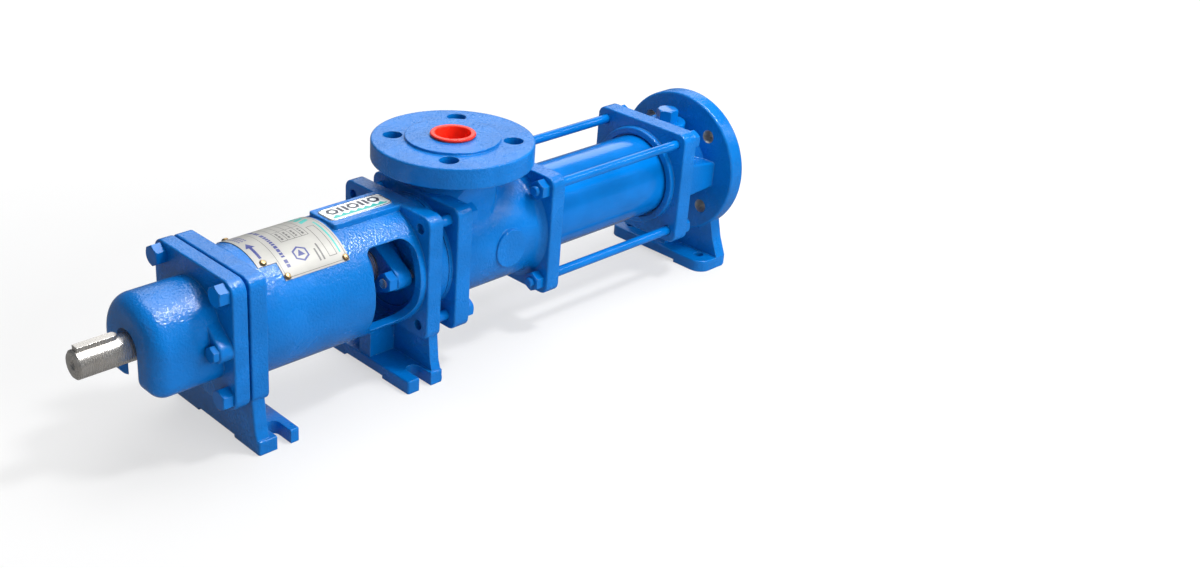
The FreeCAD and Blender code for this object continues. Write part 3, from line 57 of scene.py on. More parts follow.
MM = 0.001
AXIS_HEIGHT = 102.7  # pump axis over the floor, in millimetres
Colour = tuple[float, float, float]
Point = tuple[float, float, float]
Pair = tuple[float, float]
Box = tuple[float, float, float, float]
Outline = list[Pair]
Socket = bpy.types.NodeSocket
Material = bpy.types.Material


class Slot(Enum):
    """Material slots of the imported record."""

    PAINT = "blue_paint"
    STEEL = "bright_steel"
    BEARING = "bearing_steel"
    CAGE = "cage_brass"
    SCREW = "screw_brass"
    CHROME = "rotor_chrome"
    RUBBER = "black_rubber"
    GASKET = "gasket_fibre"
    BRAID = "packing_braid"
    PLATE = "plate_metal"
    BADGE = "badge_print"
    PLASTIC = "red_plastic"


class Body(Enum):
    """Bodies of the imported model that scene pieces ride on."""

    HOUSING = "housing"


@dataclass(frozen=True)
class Skin:
    """How enamel lies on one kind of metal. Depths of relief are in metres."""

    coat: float
    chips: float
    dullness: Pair
    wave_depth: float
    peel_depth: float
    grain_depth: float


class Grain(Enum):
    """Kinds of metal under the paint."""

    CAST = Skin(0.55, 0.55, (0.22, 0.30), 0.9 * MM, 0.75 * MM, 0.10 * MM)
    DRAWN = Skin(0.65, 0.20, (0.16, 0.22), 0.2 * MM, 0.08 * MM, 0.02 * MM)


def fill(node: bpy.types.Node, **values: float | Point) -> None:
    """Set the values of a node's sockets.

    Args:
        node: The node.
        values: Socket names with underscores for spaces, and their values.
    """
    for name, value in values.items():
        socket = node.inputs[name.replace("_", " ")]
        socket.default_value = (*value, 1.0) if socket.type == "RGBA" else value


class Sketch:
    """Short-hand for building one node-based material."""

    def __init__(self, name: str) -> None:
        """Start an empty material with a principled shader and object coordinates.

        Args:
            name: Name of the new material.
        """
        self.material = bpy.data.materials.new(name)
        self.material.use_nodes = True
        self.tree = self.material.node_tree
        self.tree.nodes.clear()
        self.output = self.tree.nodes.new("ShaderNodeOutputMaterial")
        self.shader = self.tree.nodes.new("ShaderNodeBsdfPrincipled")
        self.tree.links.new(self.shader.outputs[0], self.output.inputs[0])
        self.coordinates = self.tree.nodes.new("ShaderNodeTexCoord").outputs["Object"]

    def set(self, **values: float | Point) -> None:
        """Set the shader's own sockets, named as in fill."""
        fill(self.shader, **values)

    def feed(self, name: str, source: Socket) -> None:
        """Lead a value into the shader's socket of that name."""
        self.link(source, self.shader.inputs[name])

    def node(self, kind: str, **properties: object) -> bpy.types.Node:
        """Add a node.

        Args:
            kind: Type name without its ShaderNode prefix.
            properties: Attributes of the node to set.

        Returns:
            The new node.
        """
        made = self.tree.nodes.new("ShaderNode" + kind)
        for name, value in properties.items():
            setattr(made, name, value)
        return made

    def link(self, source: Socket, target: Socket) -> None:
        """Join two sockets."""
        self.tree.links.new(source, target)

    def stretched(self, scale: Point, turn: Point = (0.0, 0.0, 0.0)) -> Socket:
        """Object coordinates, scaled and turned.

        Args:
            scale: Scale along X, Y and Z.
            turn: Rotation about X, Y and Z in radians.

        Returns:
            The mapped vector socket.
        """
        mapping = self.node("Mapping")
        fill(mapping, Scale=scale, Rotation=turn)
        self.link(self.coordinates, mapping.inputs["Vector"])
        return mapping.outputs[0]

    def noise(
        self, scale: float, detail: float = 4.0, roughness: float = 0.5, vector: Socket | None = None
    ) -> Socket:
        """Noise value between 0 and 1.

        Args:
            scale: Cycles per metre.
            detail: Octaves.
            roughness: Strength of the finer octaves.
            vector: Coordinates, or None for the object's own.

        Returns:
            The noise factor socket.
        """
        made = self.node("TexNoise")
        fill(made, Scale=scale, Detail=detail, Roughness=roughness)
        self.link(vector or self.coordinates, made.inputs["Vector"])
        return made.outputs[0]

    def ramp(
        self, source: Socket, low: float, high: float, out_low: float = 0.0, out_high: float = 1.0
    ) -> Socket:
        """Value mapped from one range to another, clamped.

        Args:
            source: Value to map.
            low: Input that gives out_low.
            high: Input that gives out_high.
            out_low: Result at low.
            out_high: Result at high.

        Returns:
            The mapped value socket.
        """
        made = self.node("MapRange")
        fill(made, From_Min=low, From_Max=high, To_Min=out_low, To_Max=out_high)
        self.link(source, made.inputs["Value"])
        return made.outputs[0]

    def mix(self, factor: Socket, first: Colour | Socket, second: Colour | Socket) -> Socket:
        """Colour between two colours.

        Args:
            factor: 0 gives the first colour and 1 the second.
            first: Colour or colour socket.
            second: Colour or colour socket.

        Returns:
            The mixed colour socket.
        """
        made = self.node("Mix", data_type="RGBA")
        self.link(factor, made.inputs[0])
        for value, socket in ((first, made.inputs[6]), (second, made.inputs[7])):
            if isinstance(value, tuple):
                socket.default_value = (*value, 1.0)
            else:
                self.link(value, socket)
        return made.outputs[2]

    def product(self, first: Socket, second: Socket) -> Socket:
        """Product of two values.

        Args:
            first: One value.
            second: The other.

        Returns:
            The product socket.
        """
        made = self.node("Math", operation="MULTIPLY")
        self.link(first, made.inputs[0])
        self.link(second, made.inputs[1])
        return made.outputs[0]

    def glowing(self, factor: Socket, under: Socket, strength: float) -> Socket:
        """Shader blended with a plain white glow.

        Args:
            factor: Share of the glow.
            under: Shader that shows where the share is 0.
            strength: Strength of the glow.

        Returns:
            The blended shader socket.
        """
        glow = self.node("Emission")
        fill(glow, Strength=strength)
        blend = self.node("MixShader")
        self.link(factor, blend.inputs[0])
        self.link(under, blend.inputs[1])
        self.link(glow.outputs[0], blend.inputs[2])
        return blend.outputs[0]

    def relief(
        self, height: Socket, distance: float, strength: float = 1.0, under: Socket | None = None
    ) -> Socket:
        """Bumped normal.

        Args:
            height: Height between 0 and 1.
            distance: Depth of the relief in metres.
            strength: Share of the relief that shows.
            under: Normal that the relief lies on, or None.

        Returns:
            The normal socket.
        """
        made = self.node("Bump")
        fill(made, Strength=strength, Distance=distance)
        self.link(height, made.inputs["Height"])
        if under is not None:
            self.link(under, made.inputs["Normal"])
        return made.outputs[0]

    def soft_edges(self, radius: float) -> Socket:
        """Normal that rounds sharp edges.

        Args:
            radius: Edge radius in metres.

        Returns:
            The normal socket.
        """
        made = self.node("Bevel", samples=4)
        fill(made, Radius=radius)
        return made.outputs[0]

    def edge_mask(self, rounded: Socket, low: float, high: float) -> Socket:
        """Mask that is 1 along sharp edges.

        Args:
            rounded: Normal from soft_edges.
            low: Difference of normals where the mask starts.
            high: Difference where it is full.

        Returns:
            The mask socket.
        """
        geometry = self.node("NewGeometry")
        dot = self.node("VectorMath", operation="DOT_PRODUCT")
        self.link(rounded, dot.inputs[0])
        self.link(geometry.outputs["True Normal"], dot.inputs[1])
        return self.ramp(dot.outputs["Value"], 1.0 - low, 1.0 - high)


@dataclass(frozen=True)
class Enamel:
    """Glossy machine enamel over cast or drawn metal, with a painted highlight along its sharp edges."""

    name: str
    colour: Colour
    grain: Grain
    edge_radius: float = 1.4 * MM
    # Paler blue that the colour turns to along every sharp edge, convex and concave: a painted
    # highlight.
    edge_highlight_tint: Colour = (0.08, 0.32, 0.74)
    edge_highlight_share: float = 0.42
    chip_colour: Colour = (0.50, 0.62, 0.72)
    cloud_scale: float = 24.0
    peel_scale: float = 470.0
    grain_scale: float = 900.0
    chip_scale: float = 330.0

    def material(self) -> Material:
        """Build the paint.

        Returns:
            The finished material.
        """
        skin = self.grain.value
        sketch = Sketch(self.name)
        sketch.set(IOR=1.5, Coat_Weight=skin.coat, Coat_Roughness=0.045, Coat_IOR=1.5)
        sketch.set(Specular_IOR_Level=0.28, Coat_Tint=(0.86, 0.95, 1.0))
        broad = sketch.noise(self.cloud_scale, 3.0)
        peel = sketch.noise(self.peel_scale, 2.0, 0.5)
        fine = sketch.noise(self.grain_scale, 3.0, 0.55)
        rounded = sketch.soft_edges(self.edge_radius)
        edge = sketch.edge_mask(rounded, 0.03, 0.30)
        deep = tuple(c * 0.88 for c in self.colour)
        light = tuple(min(1.0, c * 1.08) for c in self.colour)
        body = sketch.mix(sketch.ramp(broad, 0.35, 0.65), deep, light)
        # Painted highlight: the colour turns towards a paler blue along sharp edges, on ridges and in
        # creases alike.
        edge_lit = sketch.mix(sketch.ramp(edge, 0.0, 1.0, 0.0, self.edge_highlight_share), body, self.edge_highlight_tint)
        flakes = sketch.noise(self.chip_scale, 4.0, 0.7)
        chips = sketch.product(edge, sketch.ramp(flakes, 0.60, 0.66, 0.0, skin.chips))
        sketch.feed("Base Color", sketch.mix(chips, edge_lit, self.chip_colour))
        sketch.feed("Roughness", sketch.ramp(broad, 0.3, 0.7, *skin.dullness))
        waved = sketch.relief(broad, skin.wave_depth, 0.35, rounded)
        peeled = sketch.relief(peel, skin.peel_depth, 0.8, waved)
        grained = sketch.relief(fine, skin.grain_depth, 0.6, peeled)
        sketch.feed("Normal", grained)
        sketch.feed("Coat Normal", peeled)
        return sketch.material


@dataclass(frozen=True)
class TurnedSteel:
    """Bright metal with tool marks round the pump axis."""

    name: str
    colour: Colour
    roughness: float = 0.20
    mark_depth: float = 0.008 * MM
    marks_per_metre: float = 1400.0
    metallic: float = 1.0
    ring_stretch: float = 18.0
    stain_scale: float = 60.0
    edge_radius: float = 0.4 * MM

    def material(self) -> Material:
        """Build the metal.

        Returns:
            The finished material.
        """
        sketch = Sketch(self.name)
        sketch.set(Metallic=self.metallic, IOR=2.5)
        stretch = (self.marks_per_metre, self.ring_stretch, self.ring_stretch)
        rings = sketch.noise(1.0, 4.0, 0.6, sketch.stretched(stretch))
        stains = sketch.noise(self.stain_scale, 5.0, 0.6)
        dark = tuple(c * 0.90 for c in self.colour)
        tone = sketch.mix(sketch.ramp(rings, 0.3, 0.7), dark, self.colour)
        warm = (self.colour[0] * 0.86, self.colour[1] * 0.80, self.colour[2] * 0.72)
        aged = sketch.mix(sketch.ramp(stains, 0.52, 0.78, 0.0, 0.7), tone, warm)
        sketch.feed("Base Color", aged)
        least, most = self.roughness * 0.8, self.roughness * 1.4
        sketch.feed("Roughness", sketch.ramp(rings, 0.2, 0.8, least, most))
        rounded = sketch.soft_edges(self.edge_radius)
        sketch.feed("Normal", sketch.relief(rings, self.mark_depth, 0.6, rounded))
        return sketch.material


@dataclass(frozen=True)
class Moulded:
    """Moulded plastic or rubber."""

    name: str
    colour: Colour
    roughness: float
    texture_depth: float = 0.05 * MM
    glow: float = 0.0
    glow_depth: float = 4.0 * MM
    glow_reach: Point = (1.0, 0.25, 0.15)
    cloud_scale: float = 70.0
    grain_scale: float = 900.0
    edge_radius: float = 0.4 * MM

    def material(self) -> Material:
        """Build the moulding.

        Returns:
            The finished material.
        """
        sketch = Sketch(self.name)
        sketch.set(IOR=1.48, Subsurface_Weight=self.glow, Subsurface_Scale=self.glow_depth)
        sketch.set(Subsurface_Radius=self.glow_reach)
        cloud = sketch.noise(self.cloud_scale, 4.0)
        grain = sketch.noise(self.grain_scale, 3.0, 0.6)
        deep = tuple(c * 0.82 for c in self.colour)
        tone = sketch.mix(sketch.ramp(cloud, 0.35, 0.65), deep, self.colour)
        sketch.feed("Base Color", tone)
        least, most = self.roughness * 0.85, self.roughness * 1.15
        sketch.feed("Roughness", sketch.ramp(cloud, 0.3, 0.7, least, most))
        rounded = sketch.soft_edges(self.edge_radius)
        sketch.feed("Normal", sketch.relief(grain, self.texture_depth, 0.5, rounded))
        return sketch.material


@dataclass(frozen=True)
class SatinSheet:
    """Thin satin sheet metal, brushed along the pump axis."""

    name: str
    colour: Colour
    roughness: float = 0.42
    brush_stretch: Point = (40.0, 1800.0, 1800.0)
    cloud_scale: float = 45.0

    def material(self) -> Material:
        """Build the sheet metal.

        Returns:
            The finished material.
        """
        sketch = Sketch(self.name)
        sketch.set(Metallic=0.35, IOR=1.6)
        brush = sketch.noise(1.0, 3.0, 0.6, sketch.stretched(self.brush_stretch))
        cloud = sketch.noise(self.cloud_scale, 4.0)
        deep = tuple(c * 0.84 for c in self.colour)
        tone = sketch.mix(sketch.ramp(cloud, 0.3, 0.7), deep, self.colour)
        rubbed = tuple(c * 0.9 for c in self.colour)
        streak = sketch.mix(sketch.ramp(brush, 0.3, 0.7, 0.0, 0.35), tone, rubbed)
        sketch.feed("Base Color", streak)
        least, most = self.roughness * 0.85, self.roughness * 1.2
        sketch.feed("Roughness", sketch.ramp(brush, 0.2, 0.8, least, most))
        sketch.feed("Normal", sketch.relief(brush, 0.01 * MM, 0.5))
        return sketch.material


@dataclass(frozen=True)
class Print:
    """Printed ink or film."""

    name: str
    colour: Colour
    roughness: float = 0.35
    speckle_scale: float = 1500.0
    wear_scale: float = 260.0

    def material(self) -> Material:
        """Build the ink.

        Returns:
            The finished material.
        """
        sketch = Sketch(self.name)
        sketch.set(IOR=1.45, Coat_Weight=0.3, Coat_Roughness=0.15)
        speckle = sketch.noise(self.speckle_scale, 3.0, 0.7)
        wear = sketch.noise(self.wear_scale, 4.0, 0.6)
        pale = tuple(c * 0.85 + 0.05 for c in self.colour)
        tone = sketch.mix(sketch.ramp(speckle, 0.45, 0.75), self.colour, pale)
        sketch.feed("Base Color", tone)
        least, most = self.roughness * 0.8, self.roughness * 1.3
        sketch.feed("Roughness", sketch.ramp(wear, 0.3, 0.7, least, most))
        return sketch.material


@dataclass(frozen=True)
class Braid:
    """Braided packing yarn."""

    name: str
    colour: Colour
    lean: float = 0.8
    strand_scale: float = 160.0
    strand_depth: float = 0.3 * MM

    def material(self) -> Material:
        """Build the braid.

        Returns:
            The finished material.
        """
        sketch = Sketch(self.name)
        sketch.set(Roughness=0.8)
        one, two = self.strand(sketch, self.lean), self.strand(sketch, -self.lean)
        crossed = sketch.node("Math", operation="MAXIMUM")
        sketch.link(one, crossed.inputs[0])
        sketch.link(two, crossed.inputs[1])
        # Painted shade: the colour darkens where the braid's relief is low, in the grooves between the
        # strands.
        deep = tuple(c * 0.5 for c in self.colour)
        tone = sketch.mix(crossed.outputs[0], deep, self.colour)
        sketch.feed("Base Color", tone)
        sketch.feed("Normal", sketch.relief(crossed.outputs[0], self.strand_depth, 0.8))
        return sketch.material

    def strand(self, sketch: Sketch, lean: float) -> Socket:
        """One set of leaning strands.

        Args:
            sketch: Material being built.
            lean: Angle of the strands in radians.

        Returns:
            The strand height socket.
        """
        wave = sketch.node("TexWave", wave_type="BANDS", bands_direction="X")
        fill(wave, Scale=self.strand_scale, Distortion=0.6)
        sketch.link(sketch.stretched((1.0, 1.0, 1.0), (0.0, lean, lean)), wave.inputs["Vector"])
        return wave.outputs["Fac"]


Finish = Enamel | TurnedSteel | Moulded | SatinSheet | Print | Braid


@dataclass(frozen=True)
class Palette:
    """Every finish of the pump, made once."""

    paint: Colour = (0.0, 0.157, 0.520)
    made: dict[str, Material] = field(default_factory=dict)

    def get(self, finish: Finish) -> Material:
        """Material of a finish, built on first use.

        Args:
            finish: The finish wanted.

        Returns:
            Its material.
        """
        if finish.name not in self.made:
            self.made[finish.name] = finish.material()
        return self.made[finish.name]

    @property
    def cast_enamel(self) -> Material:
        """Blue enamel on castings."""
        return self.get(Enamel("cast_enamel", self.paint, Grain.CAST))

    @property
    def smooth_enamel(self) -> Material:
        """Blue enamel on tube, rods and fasteners."""
        return self.get(Enamel("smooth_enamel", self.paint, Grain.DRAWN, 0.9 * MM))

    @property
    def bright_steel(self) -> Material:
        """Turned and polished shaft steel."""
        return self.get(TurnedSteel("bright_steel", (0.72, 0.69, 0.65), 0.24, 0.004 * MM, metallic=0.80))

    @property
    def bearing_steel(self) -> Material:
        """Ground bearing steel."""
        return self.get(TurnedSteel("bearing_steel", (0.70, 0.71, 0.72), 0.12, 0.01 * MM))

    @property
    def brass(self) -> Material:
        """Machined brass."""
        return self.get(TurnedSteel("machined_brass", (0.72, 0.52, 0.24), 0.28))

    @property
    def screw_brass(self) -> Material:
        """Dull plated screws."""
        return self.get(TurnedSteel("screw_brass", (0.56, 0.38, 0.19), 0.32, 0.05 * MM, 1500.0))

    @property
    def chrome(self) -> Material:
        """Hard chrome of the rotor."""
        return self.get(TurnedSteel("rotor_chrome", (0.78, 0.79, 0.80), 0.10, 0.01 * MM))

    @property
    def rubber(self) -> Material:
        """Black rubber."""
        return self.get(Moulded("black_rubber", (0.022, 0.022, 0.024), 0.55))

    @property
    def gasket(self) -> Material:
        """Compressed fibre gasket."""
        return self.get(Moulded("gasket_fibre", (0.035, 0.04, 0.05), 0.75, 0.1 * MM))

    @property
    def braid(self) -> Material:
        """Packing yarn."""
        return self.get(Braid("packing_braid", (0.42, 0.38, 0.30)))

    @property
    def sheet(self) -> Material:
        """Satin data plate."""
        return self.get(SatinSheet("satin_sheet", (0.43, 0.425, 0.40), 0.5))

    @property
    def film(self) -> Material:
        """White glossy badge film."""
        return self.get(Print("badge_film", (0.80, 0.84, 0.83), 0.25))

    @property
    def plastic(self) -> Material:
        """Red plastic of the port plug."""
        return self.get(Moulded("red_plastic", (0.86, 0.030, 0.012), 0.28, 0.03 * MM, glow=0.12))

    @property
    def navy_ink(self) -> Material:
        """Navy printing ink."""
        return self.get(Print("navy_ink", (0.018, 0.030, 0.20)))

    @property
    def grey_ink(self) -> Material:
        """Dark grey printing ink."""
        return self.get(Print("grey_ink", (0.10, 0.10, 0.10)))

    @property
    def teal_ink(self) -> Material:
        """Teal printing ink."""
        return self.get(Print("teal_ink", (0.02, 0.42, 0.38)))

    @property
    def dark_ink(self) -> Material:
        """Blue-black printing ink of the badge."""
        return self.get(Print("dark_ink", (0.012, 0.018, 0.045)))

    @property
    def silver_film(self) -> Material:
        """Silver rim of the badge."""
        return self.get(TurnedSteel("silver_film", (0.72, 0.74, 0.75), 0.22, 0.003 * MM))

    @property
    def cut_thread(self) -> Material:
        """Bare cut metal of tapped holes."""
        return self.get(TurnedSteel("cut_thread", (0.55, 0.55, 0.54), 0.36, 0.01 * MM, metallic=0.6))


def rectangle(left: float, right: float, low: float, high: float, lean: float = 0.0) -> Outline:
    """Rectangle or leaning bar in plate millimetres.

    Args:
        left: Low end along the pump.
        right: High end along the pump.
        low: Low end across the pump.
        high: High end across the pump.
        lean: Shift across the pump of the right side against the left.

    Returns:
        Corner points.
    """
    return [(left, low), (right, low + lean), (right, high + lean), (left, high)]


def frame_lines(box: Box, width: float) -> list[Outline]:
    """Four bars that outline a rectangle.

    Args:
        box: Low and high end along the pump, then low and high end across it.
        width: Line width.

    Returns:
        Outlines of the bars.
    """
    left, right, low, high = box
    return [
        rectangle(left, right, low, low + width),
        rectangle(left, right, high - width, high),
        rectangle(left, left + width, low + width, high - width),
        rectangle(right - width, right, low + width, high - width),
    ]


def regular(centre: Pair, radius: float, sides: int, turn: float = 0.0) -> Outline:
    """Regular polygon in plate millimetres.

    Args:
        centre: Middle point.
        radius: Distance of the corners.
        sides: Number of corners.
        turn: Rotation in degrees.

    Returns:
        Corner points.
    """
    angles = [math.radians(turn + 360.0 / sides * i) for i in range(sides)]
    return [(centre[0] + radius * math.cos(a), centre[1] + radius * math.sin(a)) for a in angles]


def ring_of(centre: Pair, radius: float, width: float, sides: int, turn: float = 0.0) -> list[Outline]:
    """Regular polygon drawn as a line of the given width.

    Args:
        centre: Middle point.
        radius: Distance of the outer corners.
        width: Line width.
        sides: Number of corners.
        turn: Rotation in degrees.

    Returns:
        One outline for each side.
    """
    outer = regular(centre, radius, sides, turn)
    inner = regular(centre, radius - width, sides, turn)
    return [[outer[i], outer[(i + 1) % sides], inner[(i + 1) % sides], inner[i]] for i in range(sides)]


def add_piece(
    name: str, shape: bmesh.types.BMesh, material: Material, slot: Slot, smooth: bool = False
) -> None:
    """Turn a bmesh into a scene piece that rides on the housing.

    Args:
        name: Name of the piece.
        shape: Its mesh, freed here.
        material: Its material.
        slot: Record slot that it shares. Not used.
        smooth: Whether faces are shaded smooth.
    """
    mesh = bpy.data.meshes.new(name)
    shape.normal_update()
    shape.to_mesh(mesh)
    shape.free()
    for polygon in mesh.polygons:
        polygon.use_smooth = smooth
    mesh.materials.append(material)
    item = bpy.data.objects.new(name, mesh)
    bpy.context.scene.collection.objects.link(item)
    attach(item, Body.HOUSING.value)
    LOG.info("added %s", name)


def add_prints(
    name: str,
    outlines: Iterable[Outline],
    place: Callable[[float, float], Vector],
    step: float,
    material: Material,
    slot: Slot,
) -> None:
    """Lay flat shapes on a surface as one thin piece.

    Args:
        name: Name of the piece.
        outlines: Shapes in plate millimetres.
        place: Maps plate millimetres to a point in metres.
        step: Spacing of the cuts across the pump that let the shapes follow the surface.
        material: Ink.
        slot: Record slot of the plate that carries the print.
    """
    shape = bmesh.new()
    for outline in outlines:
        shape.faces.new([shape.verts.new((x, s, 0.0)) for x, s in outline])
    bmesh.ops.triangulate(shape, faces=shape.faces[:])
    across = [vertex.co.y for vertex in shape.verts]
    low, high = min(across), max(across)
    for i in range(1, int((high - low) / step) + 1):
        everything = shape.verts[:] + shape.edges[:] + shape.faces[:]
        cut = (0, low + step * i, 0)
        bmesh.ops.bisect_plane(shape, geom=everything, plane_co=cut, plane_no=(0, 1, 0))
    for vertex in shape.verts:
        vertex.co = place(vertex.co.x, vertex.co.y)
    add_piece(name, shape, material, slot)


def add_turned(
    name: str,
    profile: Sequence[Pair],
    axes: Iterable[Pair],
    material: Material,
    slot: Slot,
    segments: int = 40,
) -> None:
    """Turn one closed profile about several lines along X.

    Args:
        name: Name of the piece.
        profile: Points of (x, radius) in metres.
        axes: Places of the lines in (y, z).
        material: Its material.
        slot: Record slot.
        segments: Steps round each line.
    """
    shape = bmesh.new()
    for y, z in axes:
        rows = []
        for i in range(segments):
            turn = 2.0 * math.pi * i / segments
            across, up = math.cos(turn), math.sin(turn)
            rows.append([shape.verts.new((x, y + r * across, z + r * up)) for x, r in profile])
        for i, row in enumerate(rows):
            following = rows[(i + 1) % segments]
            for j in range(len(profile)):
                k = (j + 1) % len(profile)
                shape.faces.new((row[j], row[k], following[k], following[j]))
    bmesh.ops.recalc_face_normals(shape, faces=shape.faces[:])
    add_piece(name, shape, material, slot)


@dataclass
class DataPlate:
    """Print on the plate that wraps the bearing barrel. All figures are plain shapes, not writing."""

    palette: Palette
    axis_height: float = AXIS_HEIGHT
    main_length: float = 66.0
    main_half: float = 50.2
    ink_lift: float = 0.04
    step: float = 2.5
    line: float = 0.6
    border_line: float = 0.48
    border_inset: float = 1.6
    table_box: Box = (17.0, 45.5, -14.0, 38.0)
    column_lines: tuple[float, ...] = (24.1, 31.2, 38.3)
    cross_line: float = 2.0
    side_box: Box = (49.0, 57.0, -42.0, -4.0)
    bar_columns: tuple[float, ...] = (19.4, 26.5, 33.6, 40.7)
    bar_span: Pair = (-11.6, -1.0)
    bar_limit: float = 0.6
    bar_lengths: Pair = (1.6, 4.0)
    bar_width: float = 2.0
    bar_gap: float = 1.1
    long_columns: tuple[float, ...] = (38.6, 42.6)
    long_start: float = -43.0
    long_lengths: Pair = (12.0, 18.0)
    long_width: float = 1.7
    title_column: Pair = (7.0, 10.4)
    title_span: Pair = (-40.0, 34.0)
    title_lengths: Pair = (1.8, 4.6)
    title_gaps: Pair = (0.9, 2.6)
    wide_gap_share: float = 0.25
    mark_middle: Pair = (25.5, -31.0)
    mark_radius: float = 8.0
    mark_line: float = 1.9
    mark_core: float = 4.2
    arrow_shaft: Box = (6.0, 8.8, -24.0, -9.0)
    arrow_head: tuple[Pair, ...] = ((2.9, -9.0), (11.9, -9.0), (7.4, -1.6))
    tab_columns: tuple[Pair, ...] = ((4.2, 22.0), (7.4, 17.0), (10.6, 24.5))
    tab_bar_start: float = 3.5
    tab_bar: Pair = (1.7, 1.9)
    tab_bar_pitch: float = 2.9
    teal_column: Pair = (50.0, 60.5)
    teal_starts: tuple[float, ...] = (3.0, 11.0, 19.0, 27.0)
    teal_width: float = 5.0
    teal_lean: float = 4.5
    teal_line: Box = (59.6, 61.2, -41.0, 1.0)
    seed: int = 11
    start: float = field(init=False)
    tab_start: float = field(init=False)
    radius: float = field(init=False)

    def __post_init__(self) -> None:
        """Read the plate's place from the frame."""
        low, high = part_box("nameplate")
        self.start = high.x / MM - self.main_length
        self.tab_start = low.x / MM
        self.radius = high.z / MM - self.axis_height + self.ink_lift

    def build(self) -> None:
        """Print the border, the table, the rows of bars, the mark and the arrow."""
        for name, outlines, ink in (
            ("data_plate_lines", self.table() + self.rows(), self.palette.grey_ink),
            ("data_plate_signs", self.title() + self.mark() + self.arrow(), self.palette.navy_ink),
            ("data_plate_band", self.band(), self.palette.teal_ink),
        ):
            add_prints(name, outlines, self.place, self.step, ink, Slot.PLATE)

    def place(self, x: float, s: float) -> Vector:
        """Point on the plate.

        Args:
            x: Millimetres along the pump from the main field's start.
            s: Millimetres round the barrel from its top, positive to +Y.

        Returns:
            The point in metres.
        """
        turn = s / self.radius
        y = self.radius * math.sin(turn)
        z = self.axis_height + self.radius * math.cos(turn)
        return Vector((self.start + x, y, z)) * MM

    def table(self) -> list[Outline]:
        """Empty table of thin lines and the plate's border.

        Returns:
            Outlines in plate millimetres.
        """
        near, far = self.border_inset, self.main_length - self.border_inset
        side = self.main_half - self.border_inset
        lines = frame_lines((near, far, -side, side), self.border_line)
        left, right, low, high = self.table_box
        lines += frame_lines(self.table_box, self.line)
        for x in self.column_lines:
            lines.append(rectangle(x, x + self.line, low, high))
        lines.append(rectangle(left, right, self.cross_line, self.cross_line + self.line))
        lines += frame_lines(self.side_box, self.line)
        return lines

    def rows(self) -> list[Outline]:
        """Short bars in the table's narrow column and two long ones beside it.

        Returns:
            Outlines in plate millimetres.
        """
        pick = Random(self.seed)
        bars = []
        for x in self.bar_columns:
            cursor, stop = self.bar_span
            while cursor < stop:
                length = pick.uniform(*self.bar_lengths)
                end = min(cursor + length, self.bar_limit)
                bars.append(rectangle(x, x + self.bar_width, cursor, end))
                cursor += length + self.bar_gap
        for x in self.long_columns:
            end = self.long_start + pick.uniform(*self.long_lengths)
            bars.append(rectangle(x, x + self.long_width, self.long_start, end))
        return bars

    def title(self) -> list[Outline]:
        """Row of blocks along the main field's front edge.

        Returns:
            Outlines in plate millimetres.
        """
        pick = Random(self.seed + 1)
        blocks = []
        narrow, wide = self.title_gaps
        cursor, stop = self.title_span
        while cursor < stop:
            length = pick.uniform(*self.title_lengths)
            blocks.append(rectangle(*self.title_column, cursor, cursor + length))
            cursor += length + (wide if pick.random() < self.wide_gap_share else narrow)
        return blocks

    def mark(self) -> list[Outline]:
        """Hexagon with a triangle in it."""
        rim = ring_of(self.mark_middle, self.mark_radius, self.mark_line, 6, 30.0)
        return rim + [regular(self.mark_middle, self.mark_core, 3, 90.0)]

    def arrow(self) -> list[Outline]:
        """Turning-direction arrow and three rows of blocks on the tab.

        Returns:
            Outlines in plate millimetres.
        """
        offset = self.tab_start - self.start
        left, right, low, high = self.arrow_shaft
        shaft = rectangle(offset + left, offset + right, low, high)
        head = [(offset + x, s) for x, s in self.arrow_head]
        rows = []
        width, length = self.tab_bar
        for x, stop in self.tab_columns:
            cursor = self.tab_bar_start
            while cursor < stop:
                rows.append(rectangle(offset + x, offset + x + width, cursor, cursor + length))
                cursor += self.tab_bar_pitch
        return [shaft, head] + rows

    def band(self) -> list[Outline]:
        """Leaning teal bars and a thin line near the rear edge.

        Returns:
            Outlines in plate millimetres.
        """
        bars = []
        for s in self.teal_starts:
            bars.append(rectangle(*self.teal_column, s, s + self.teal_width, self.teal_lean))
        return bars + [rectangle(*self.teal_line)]


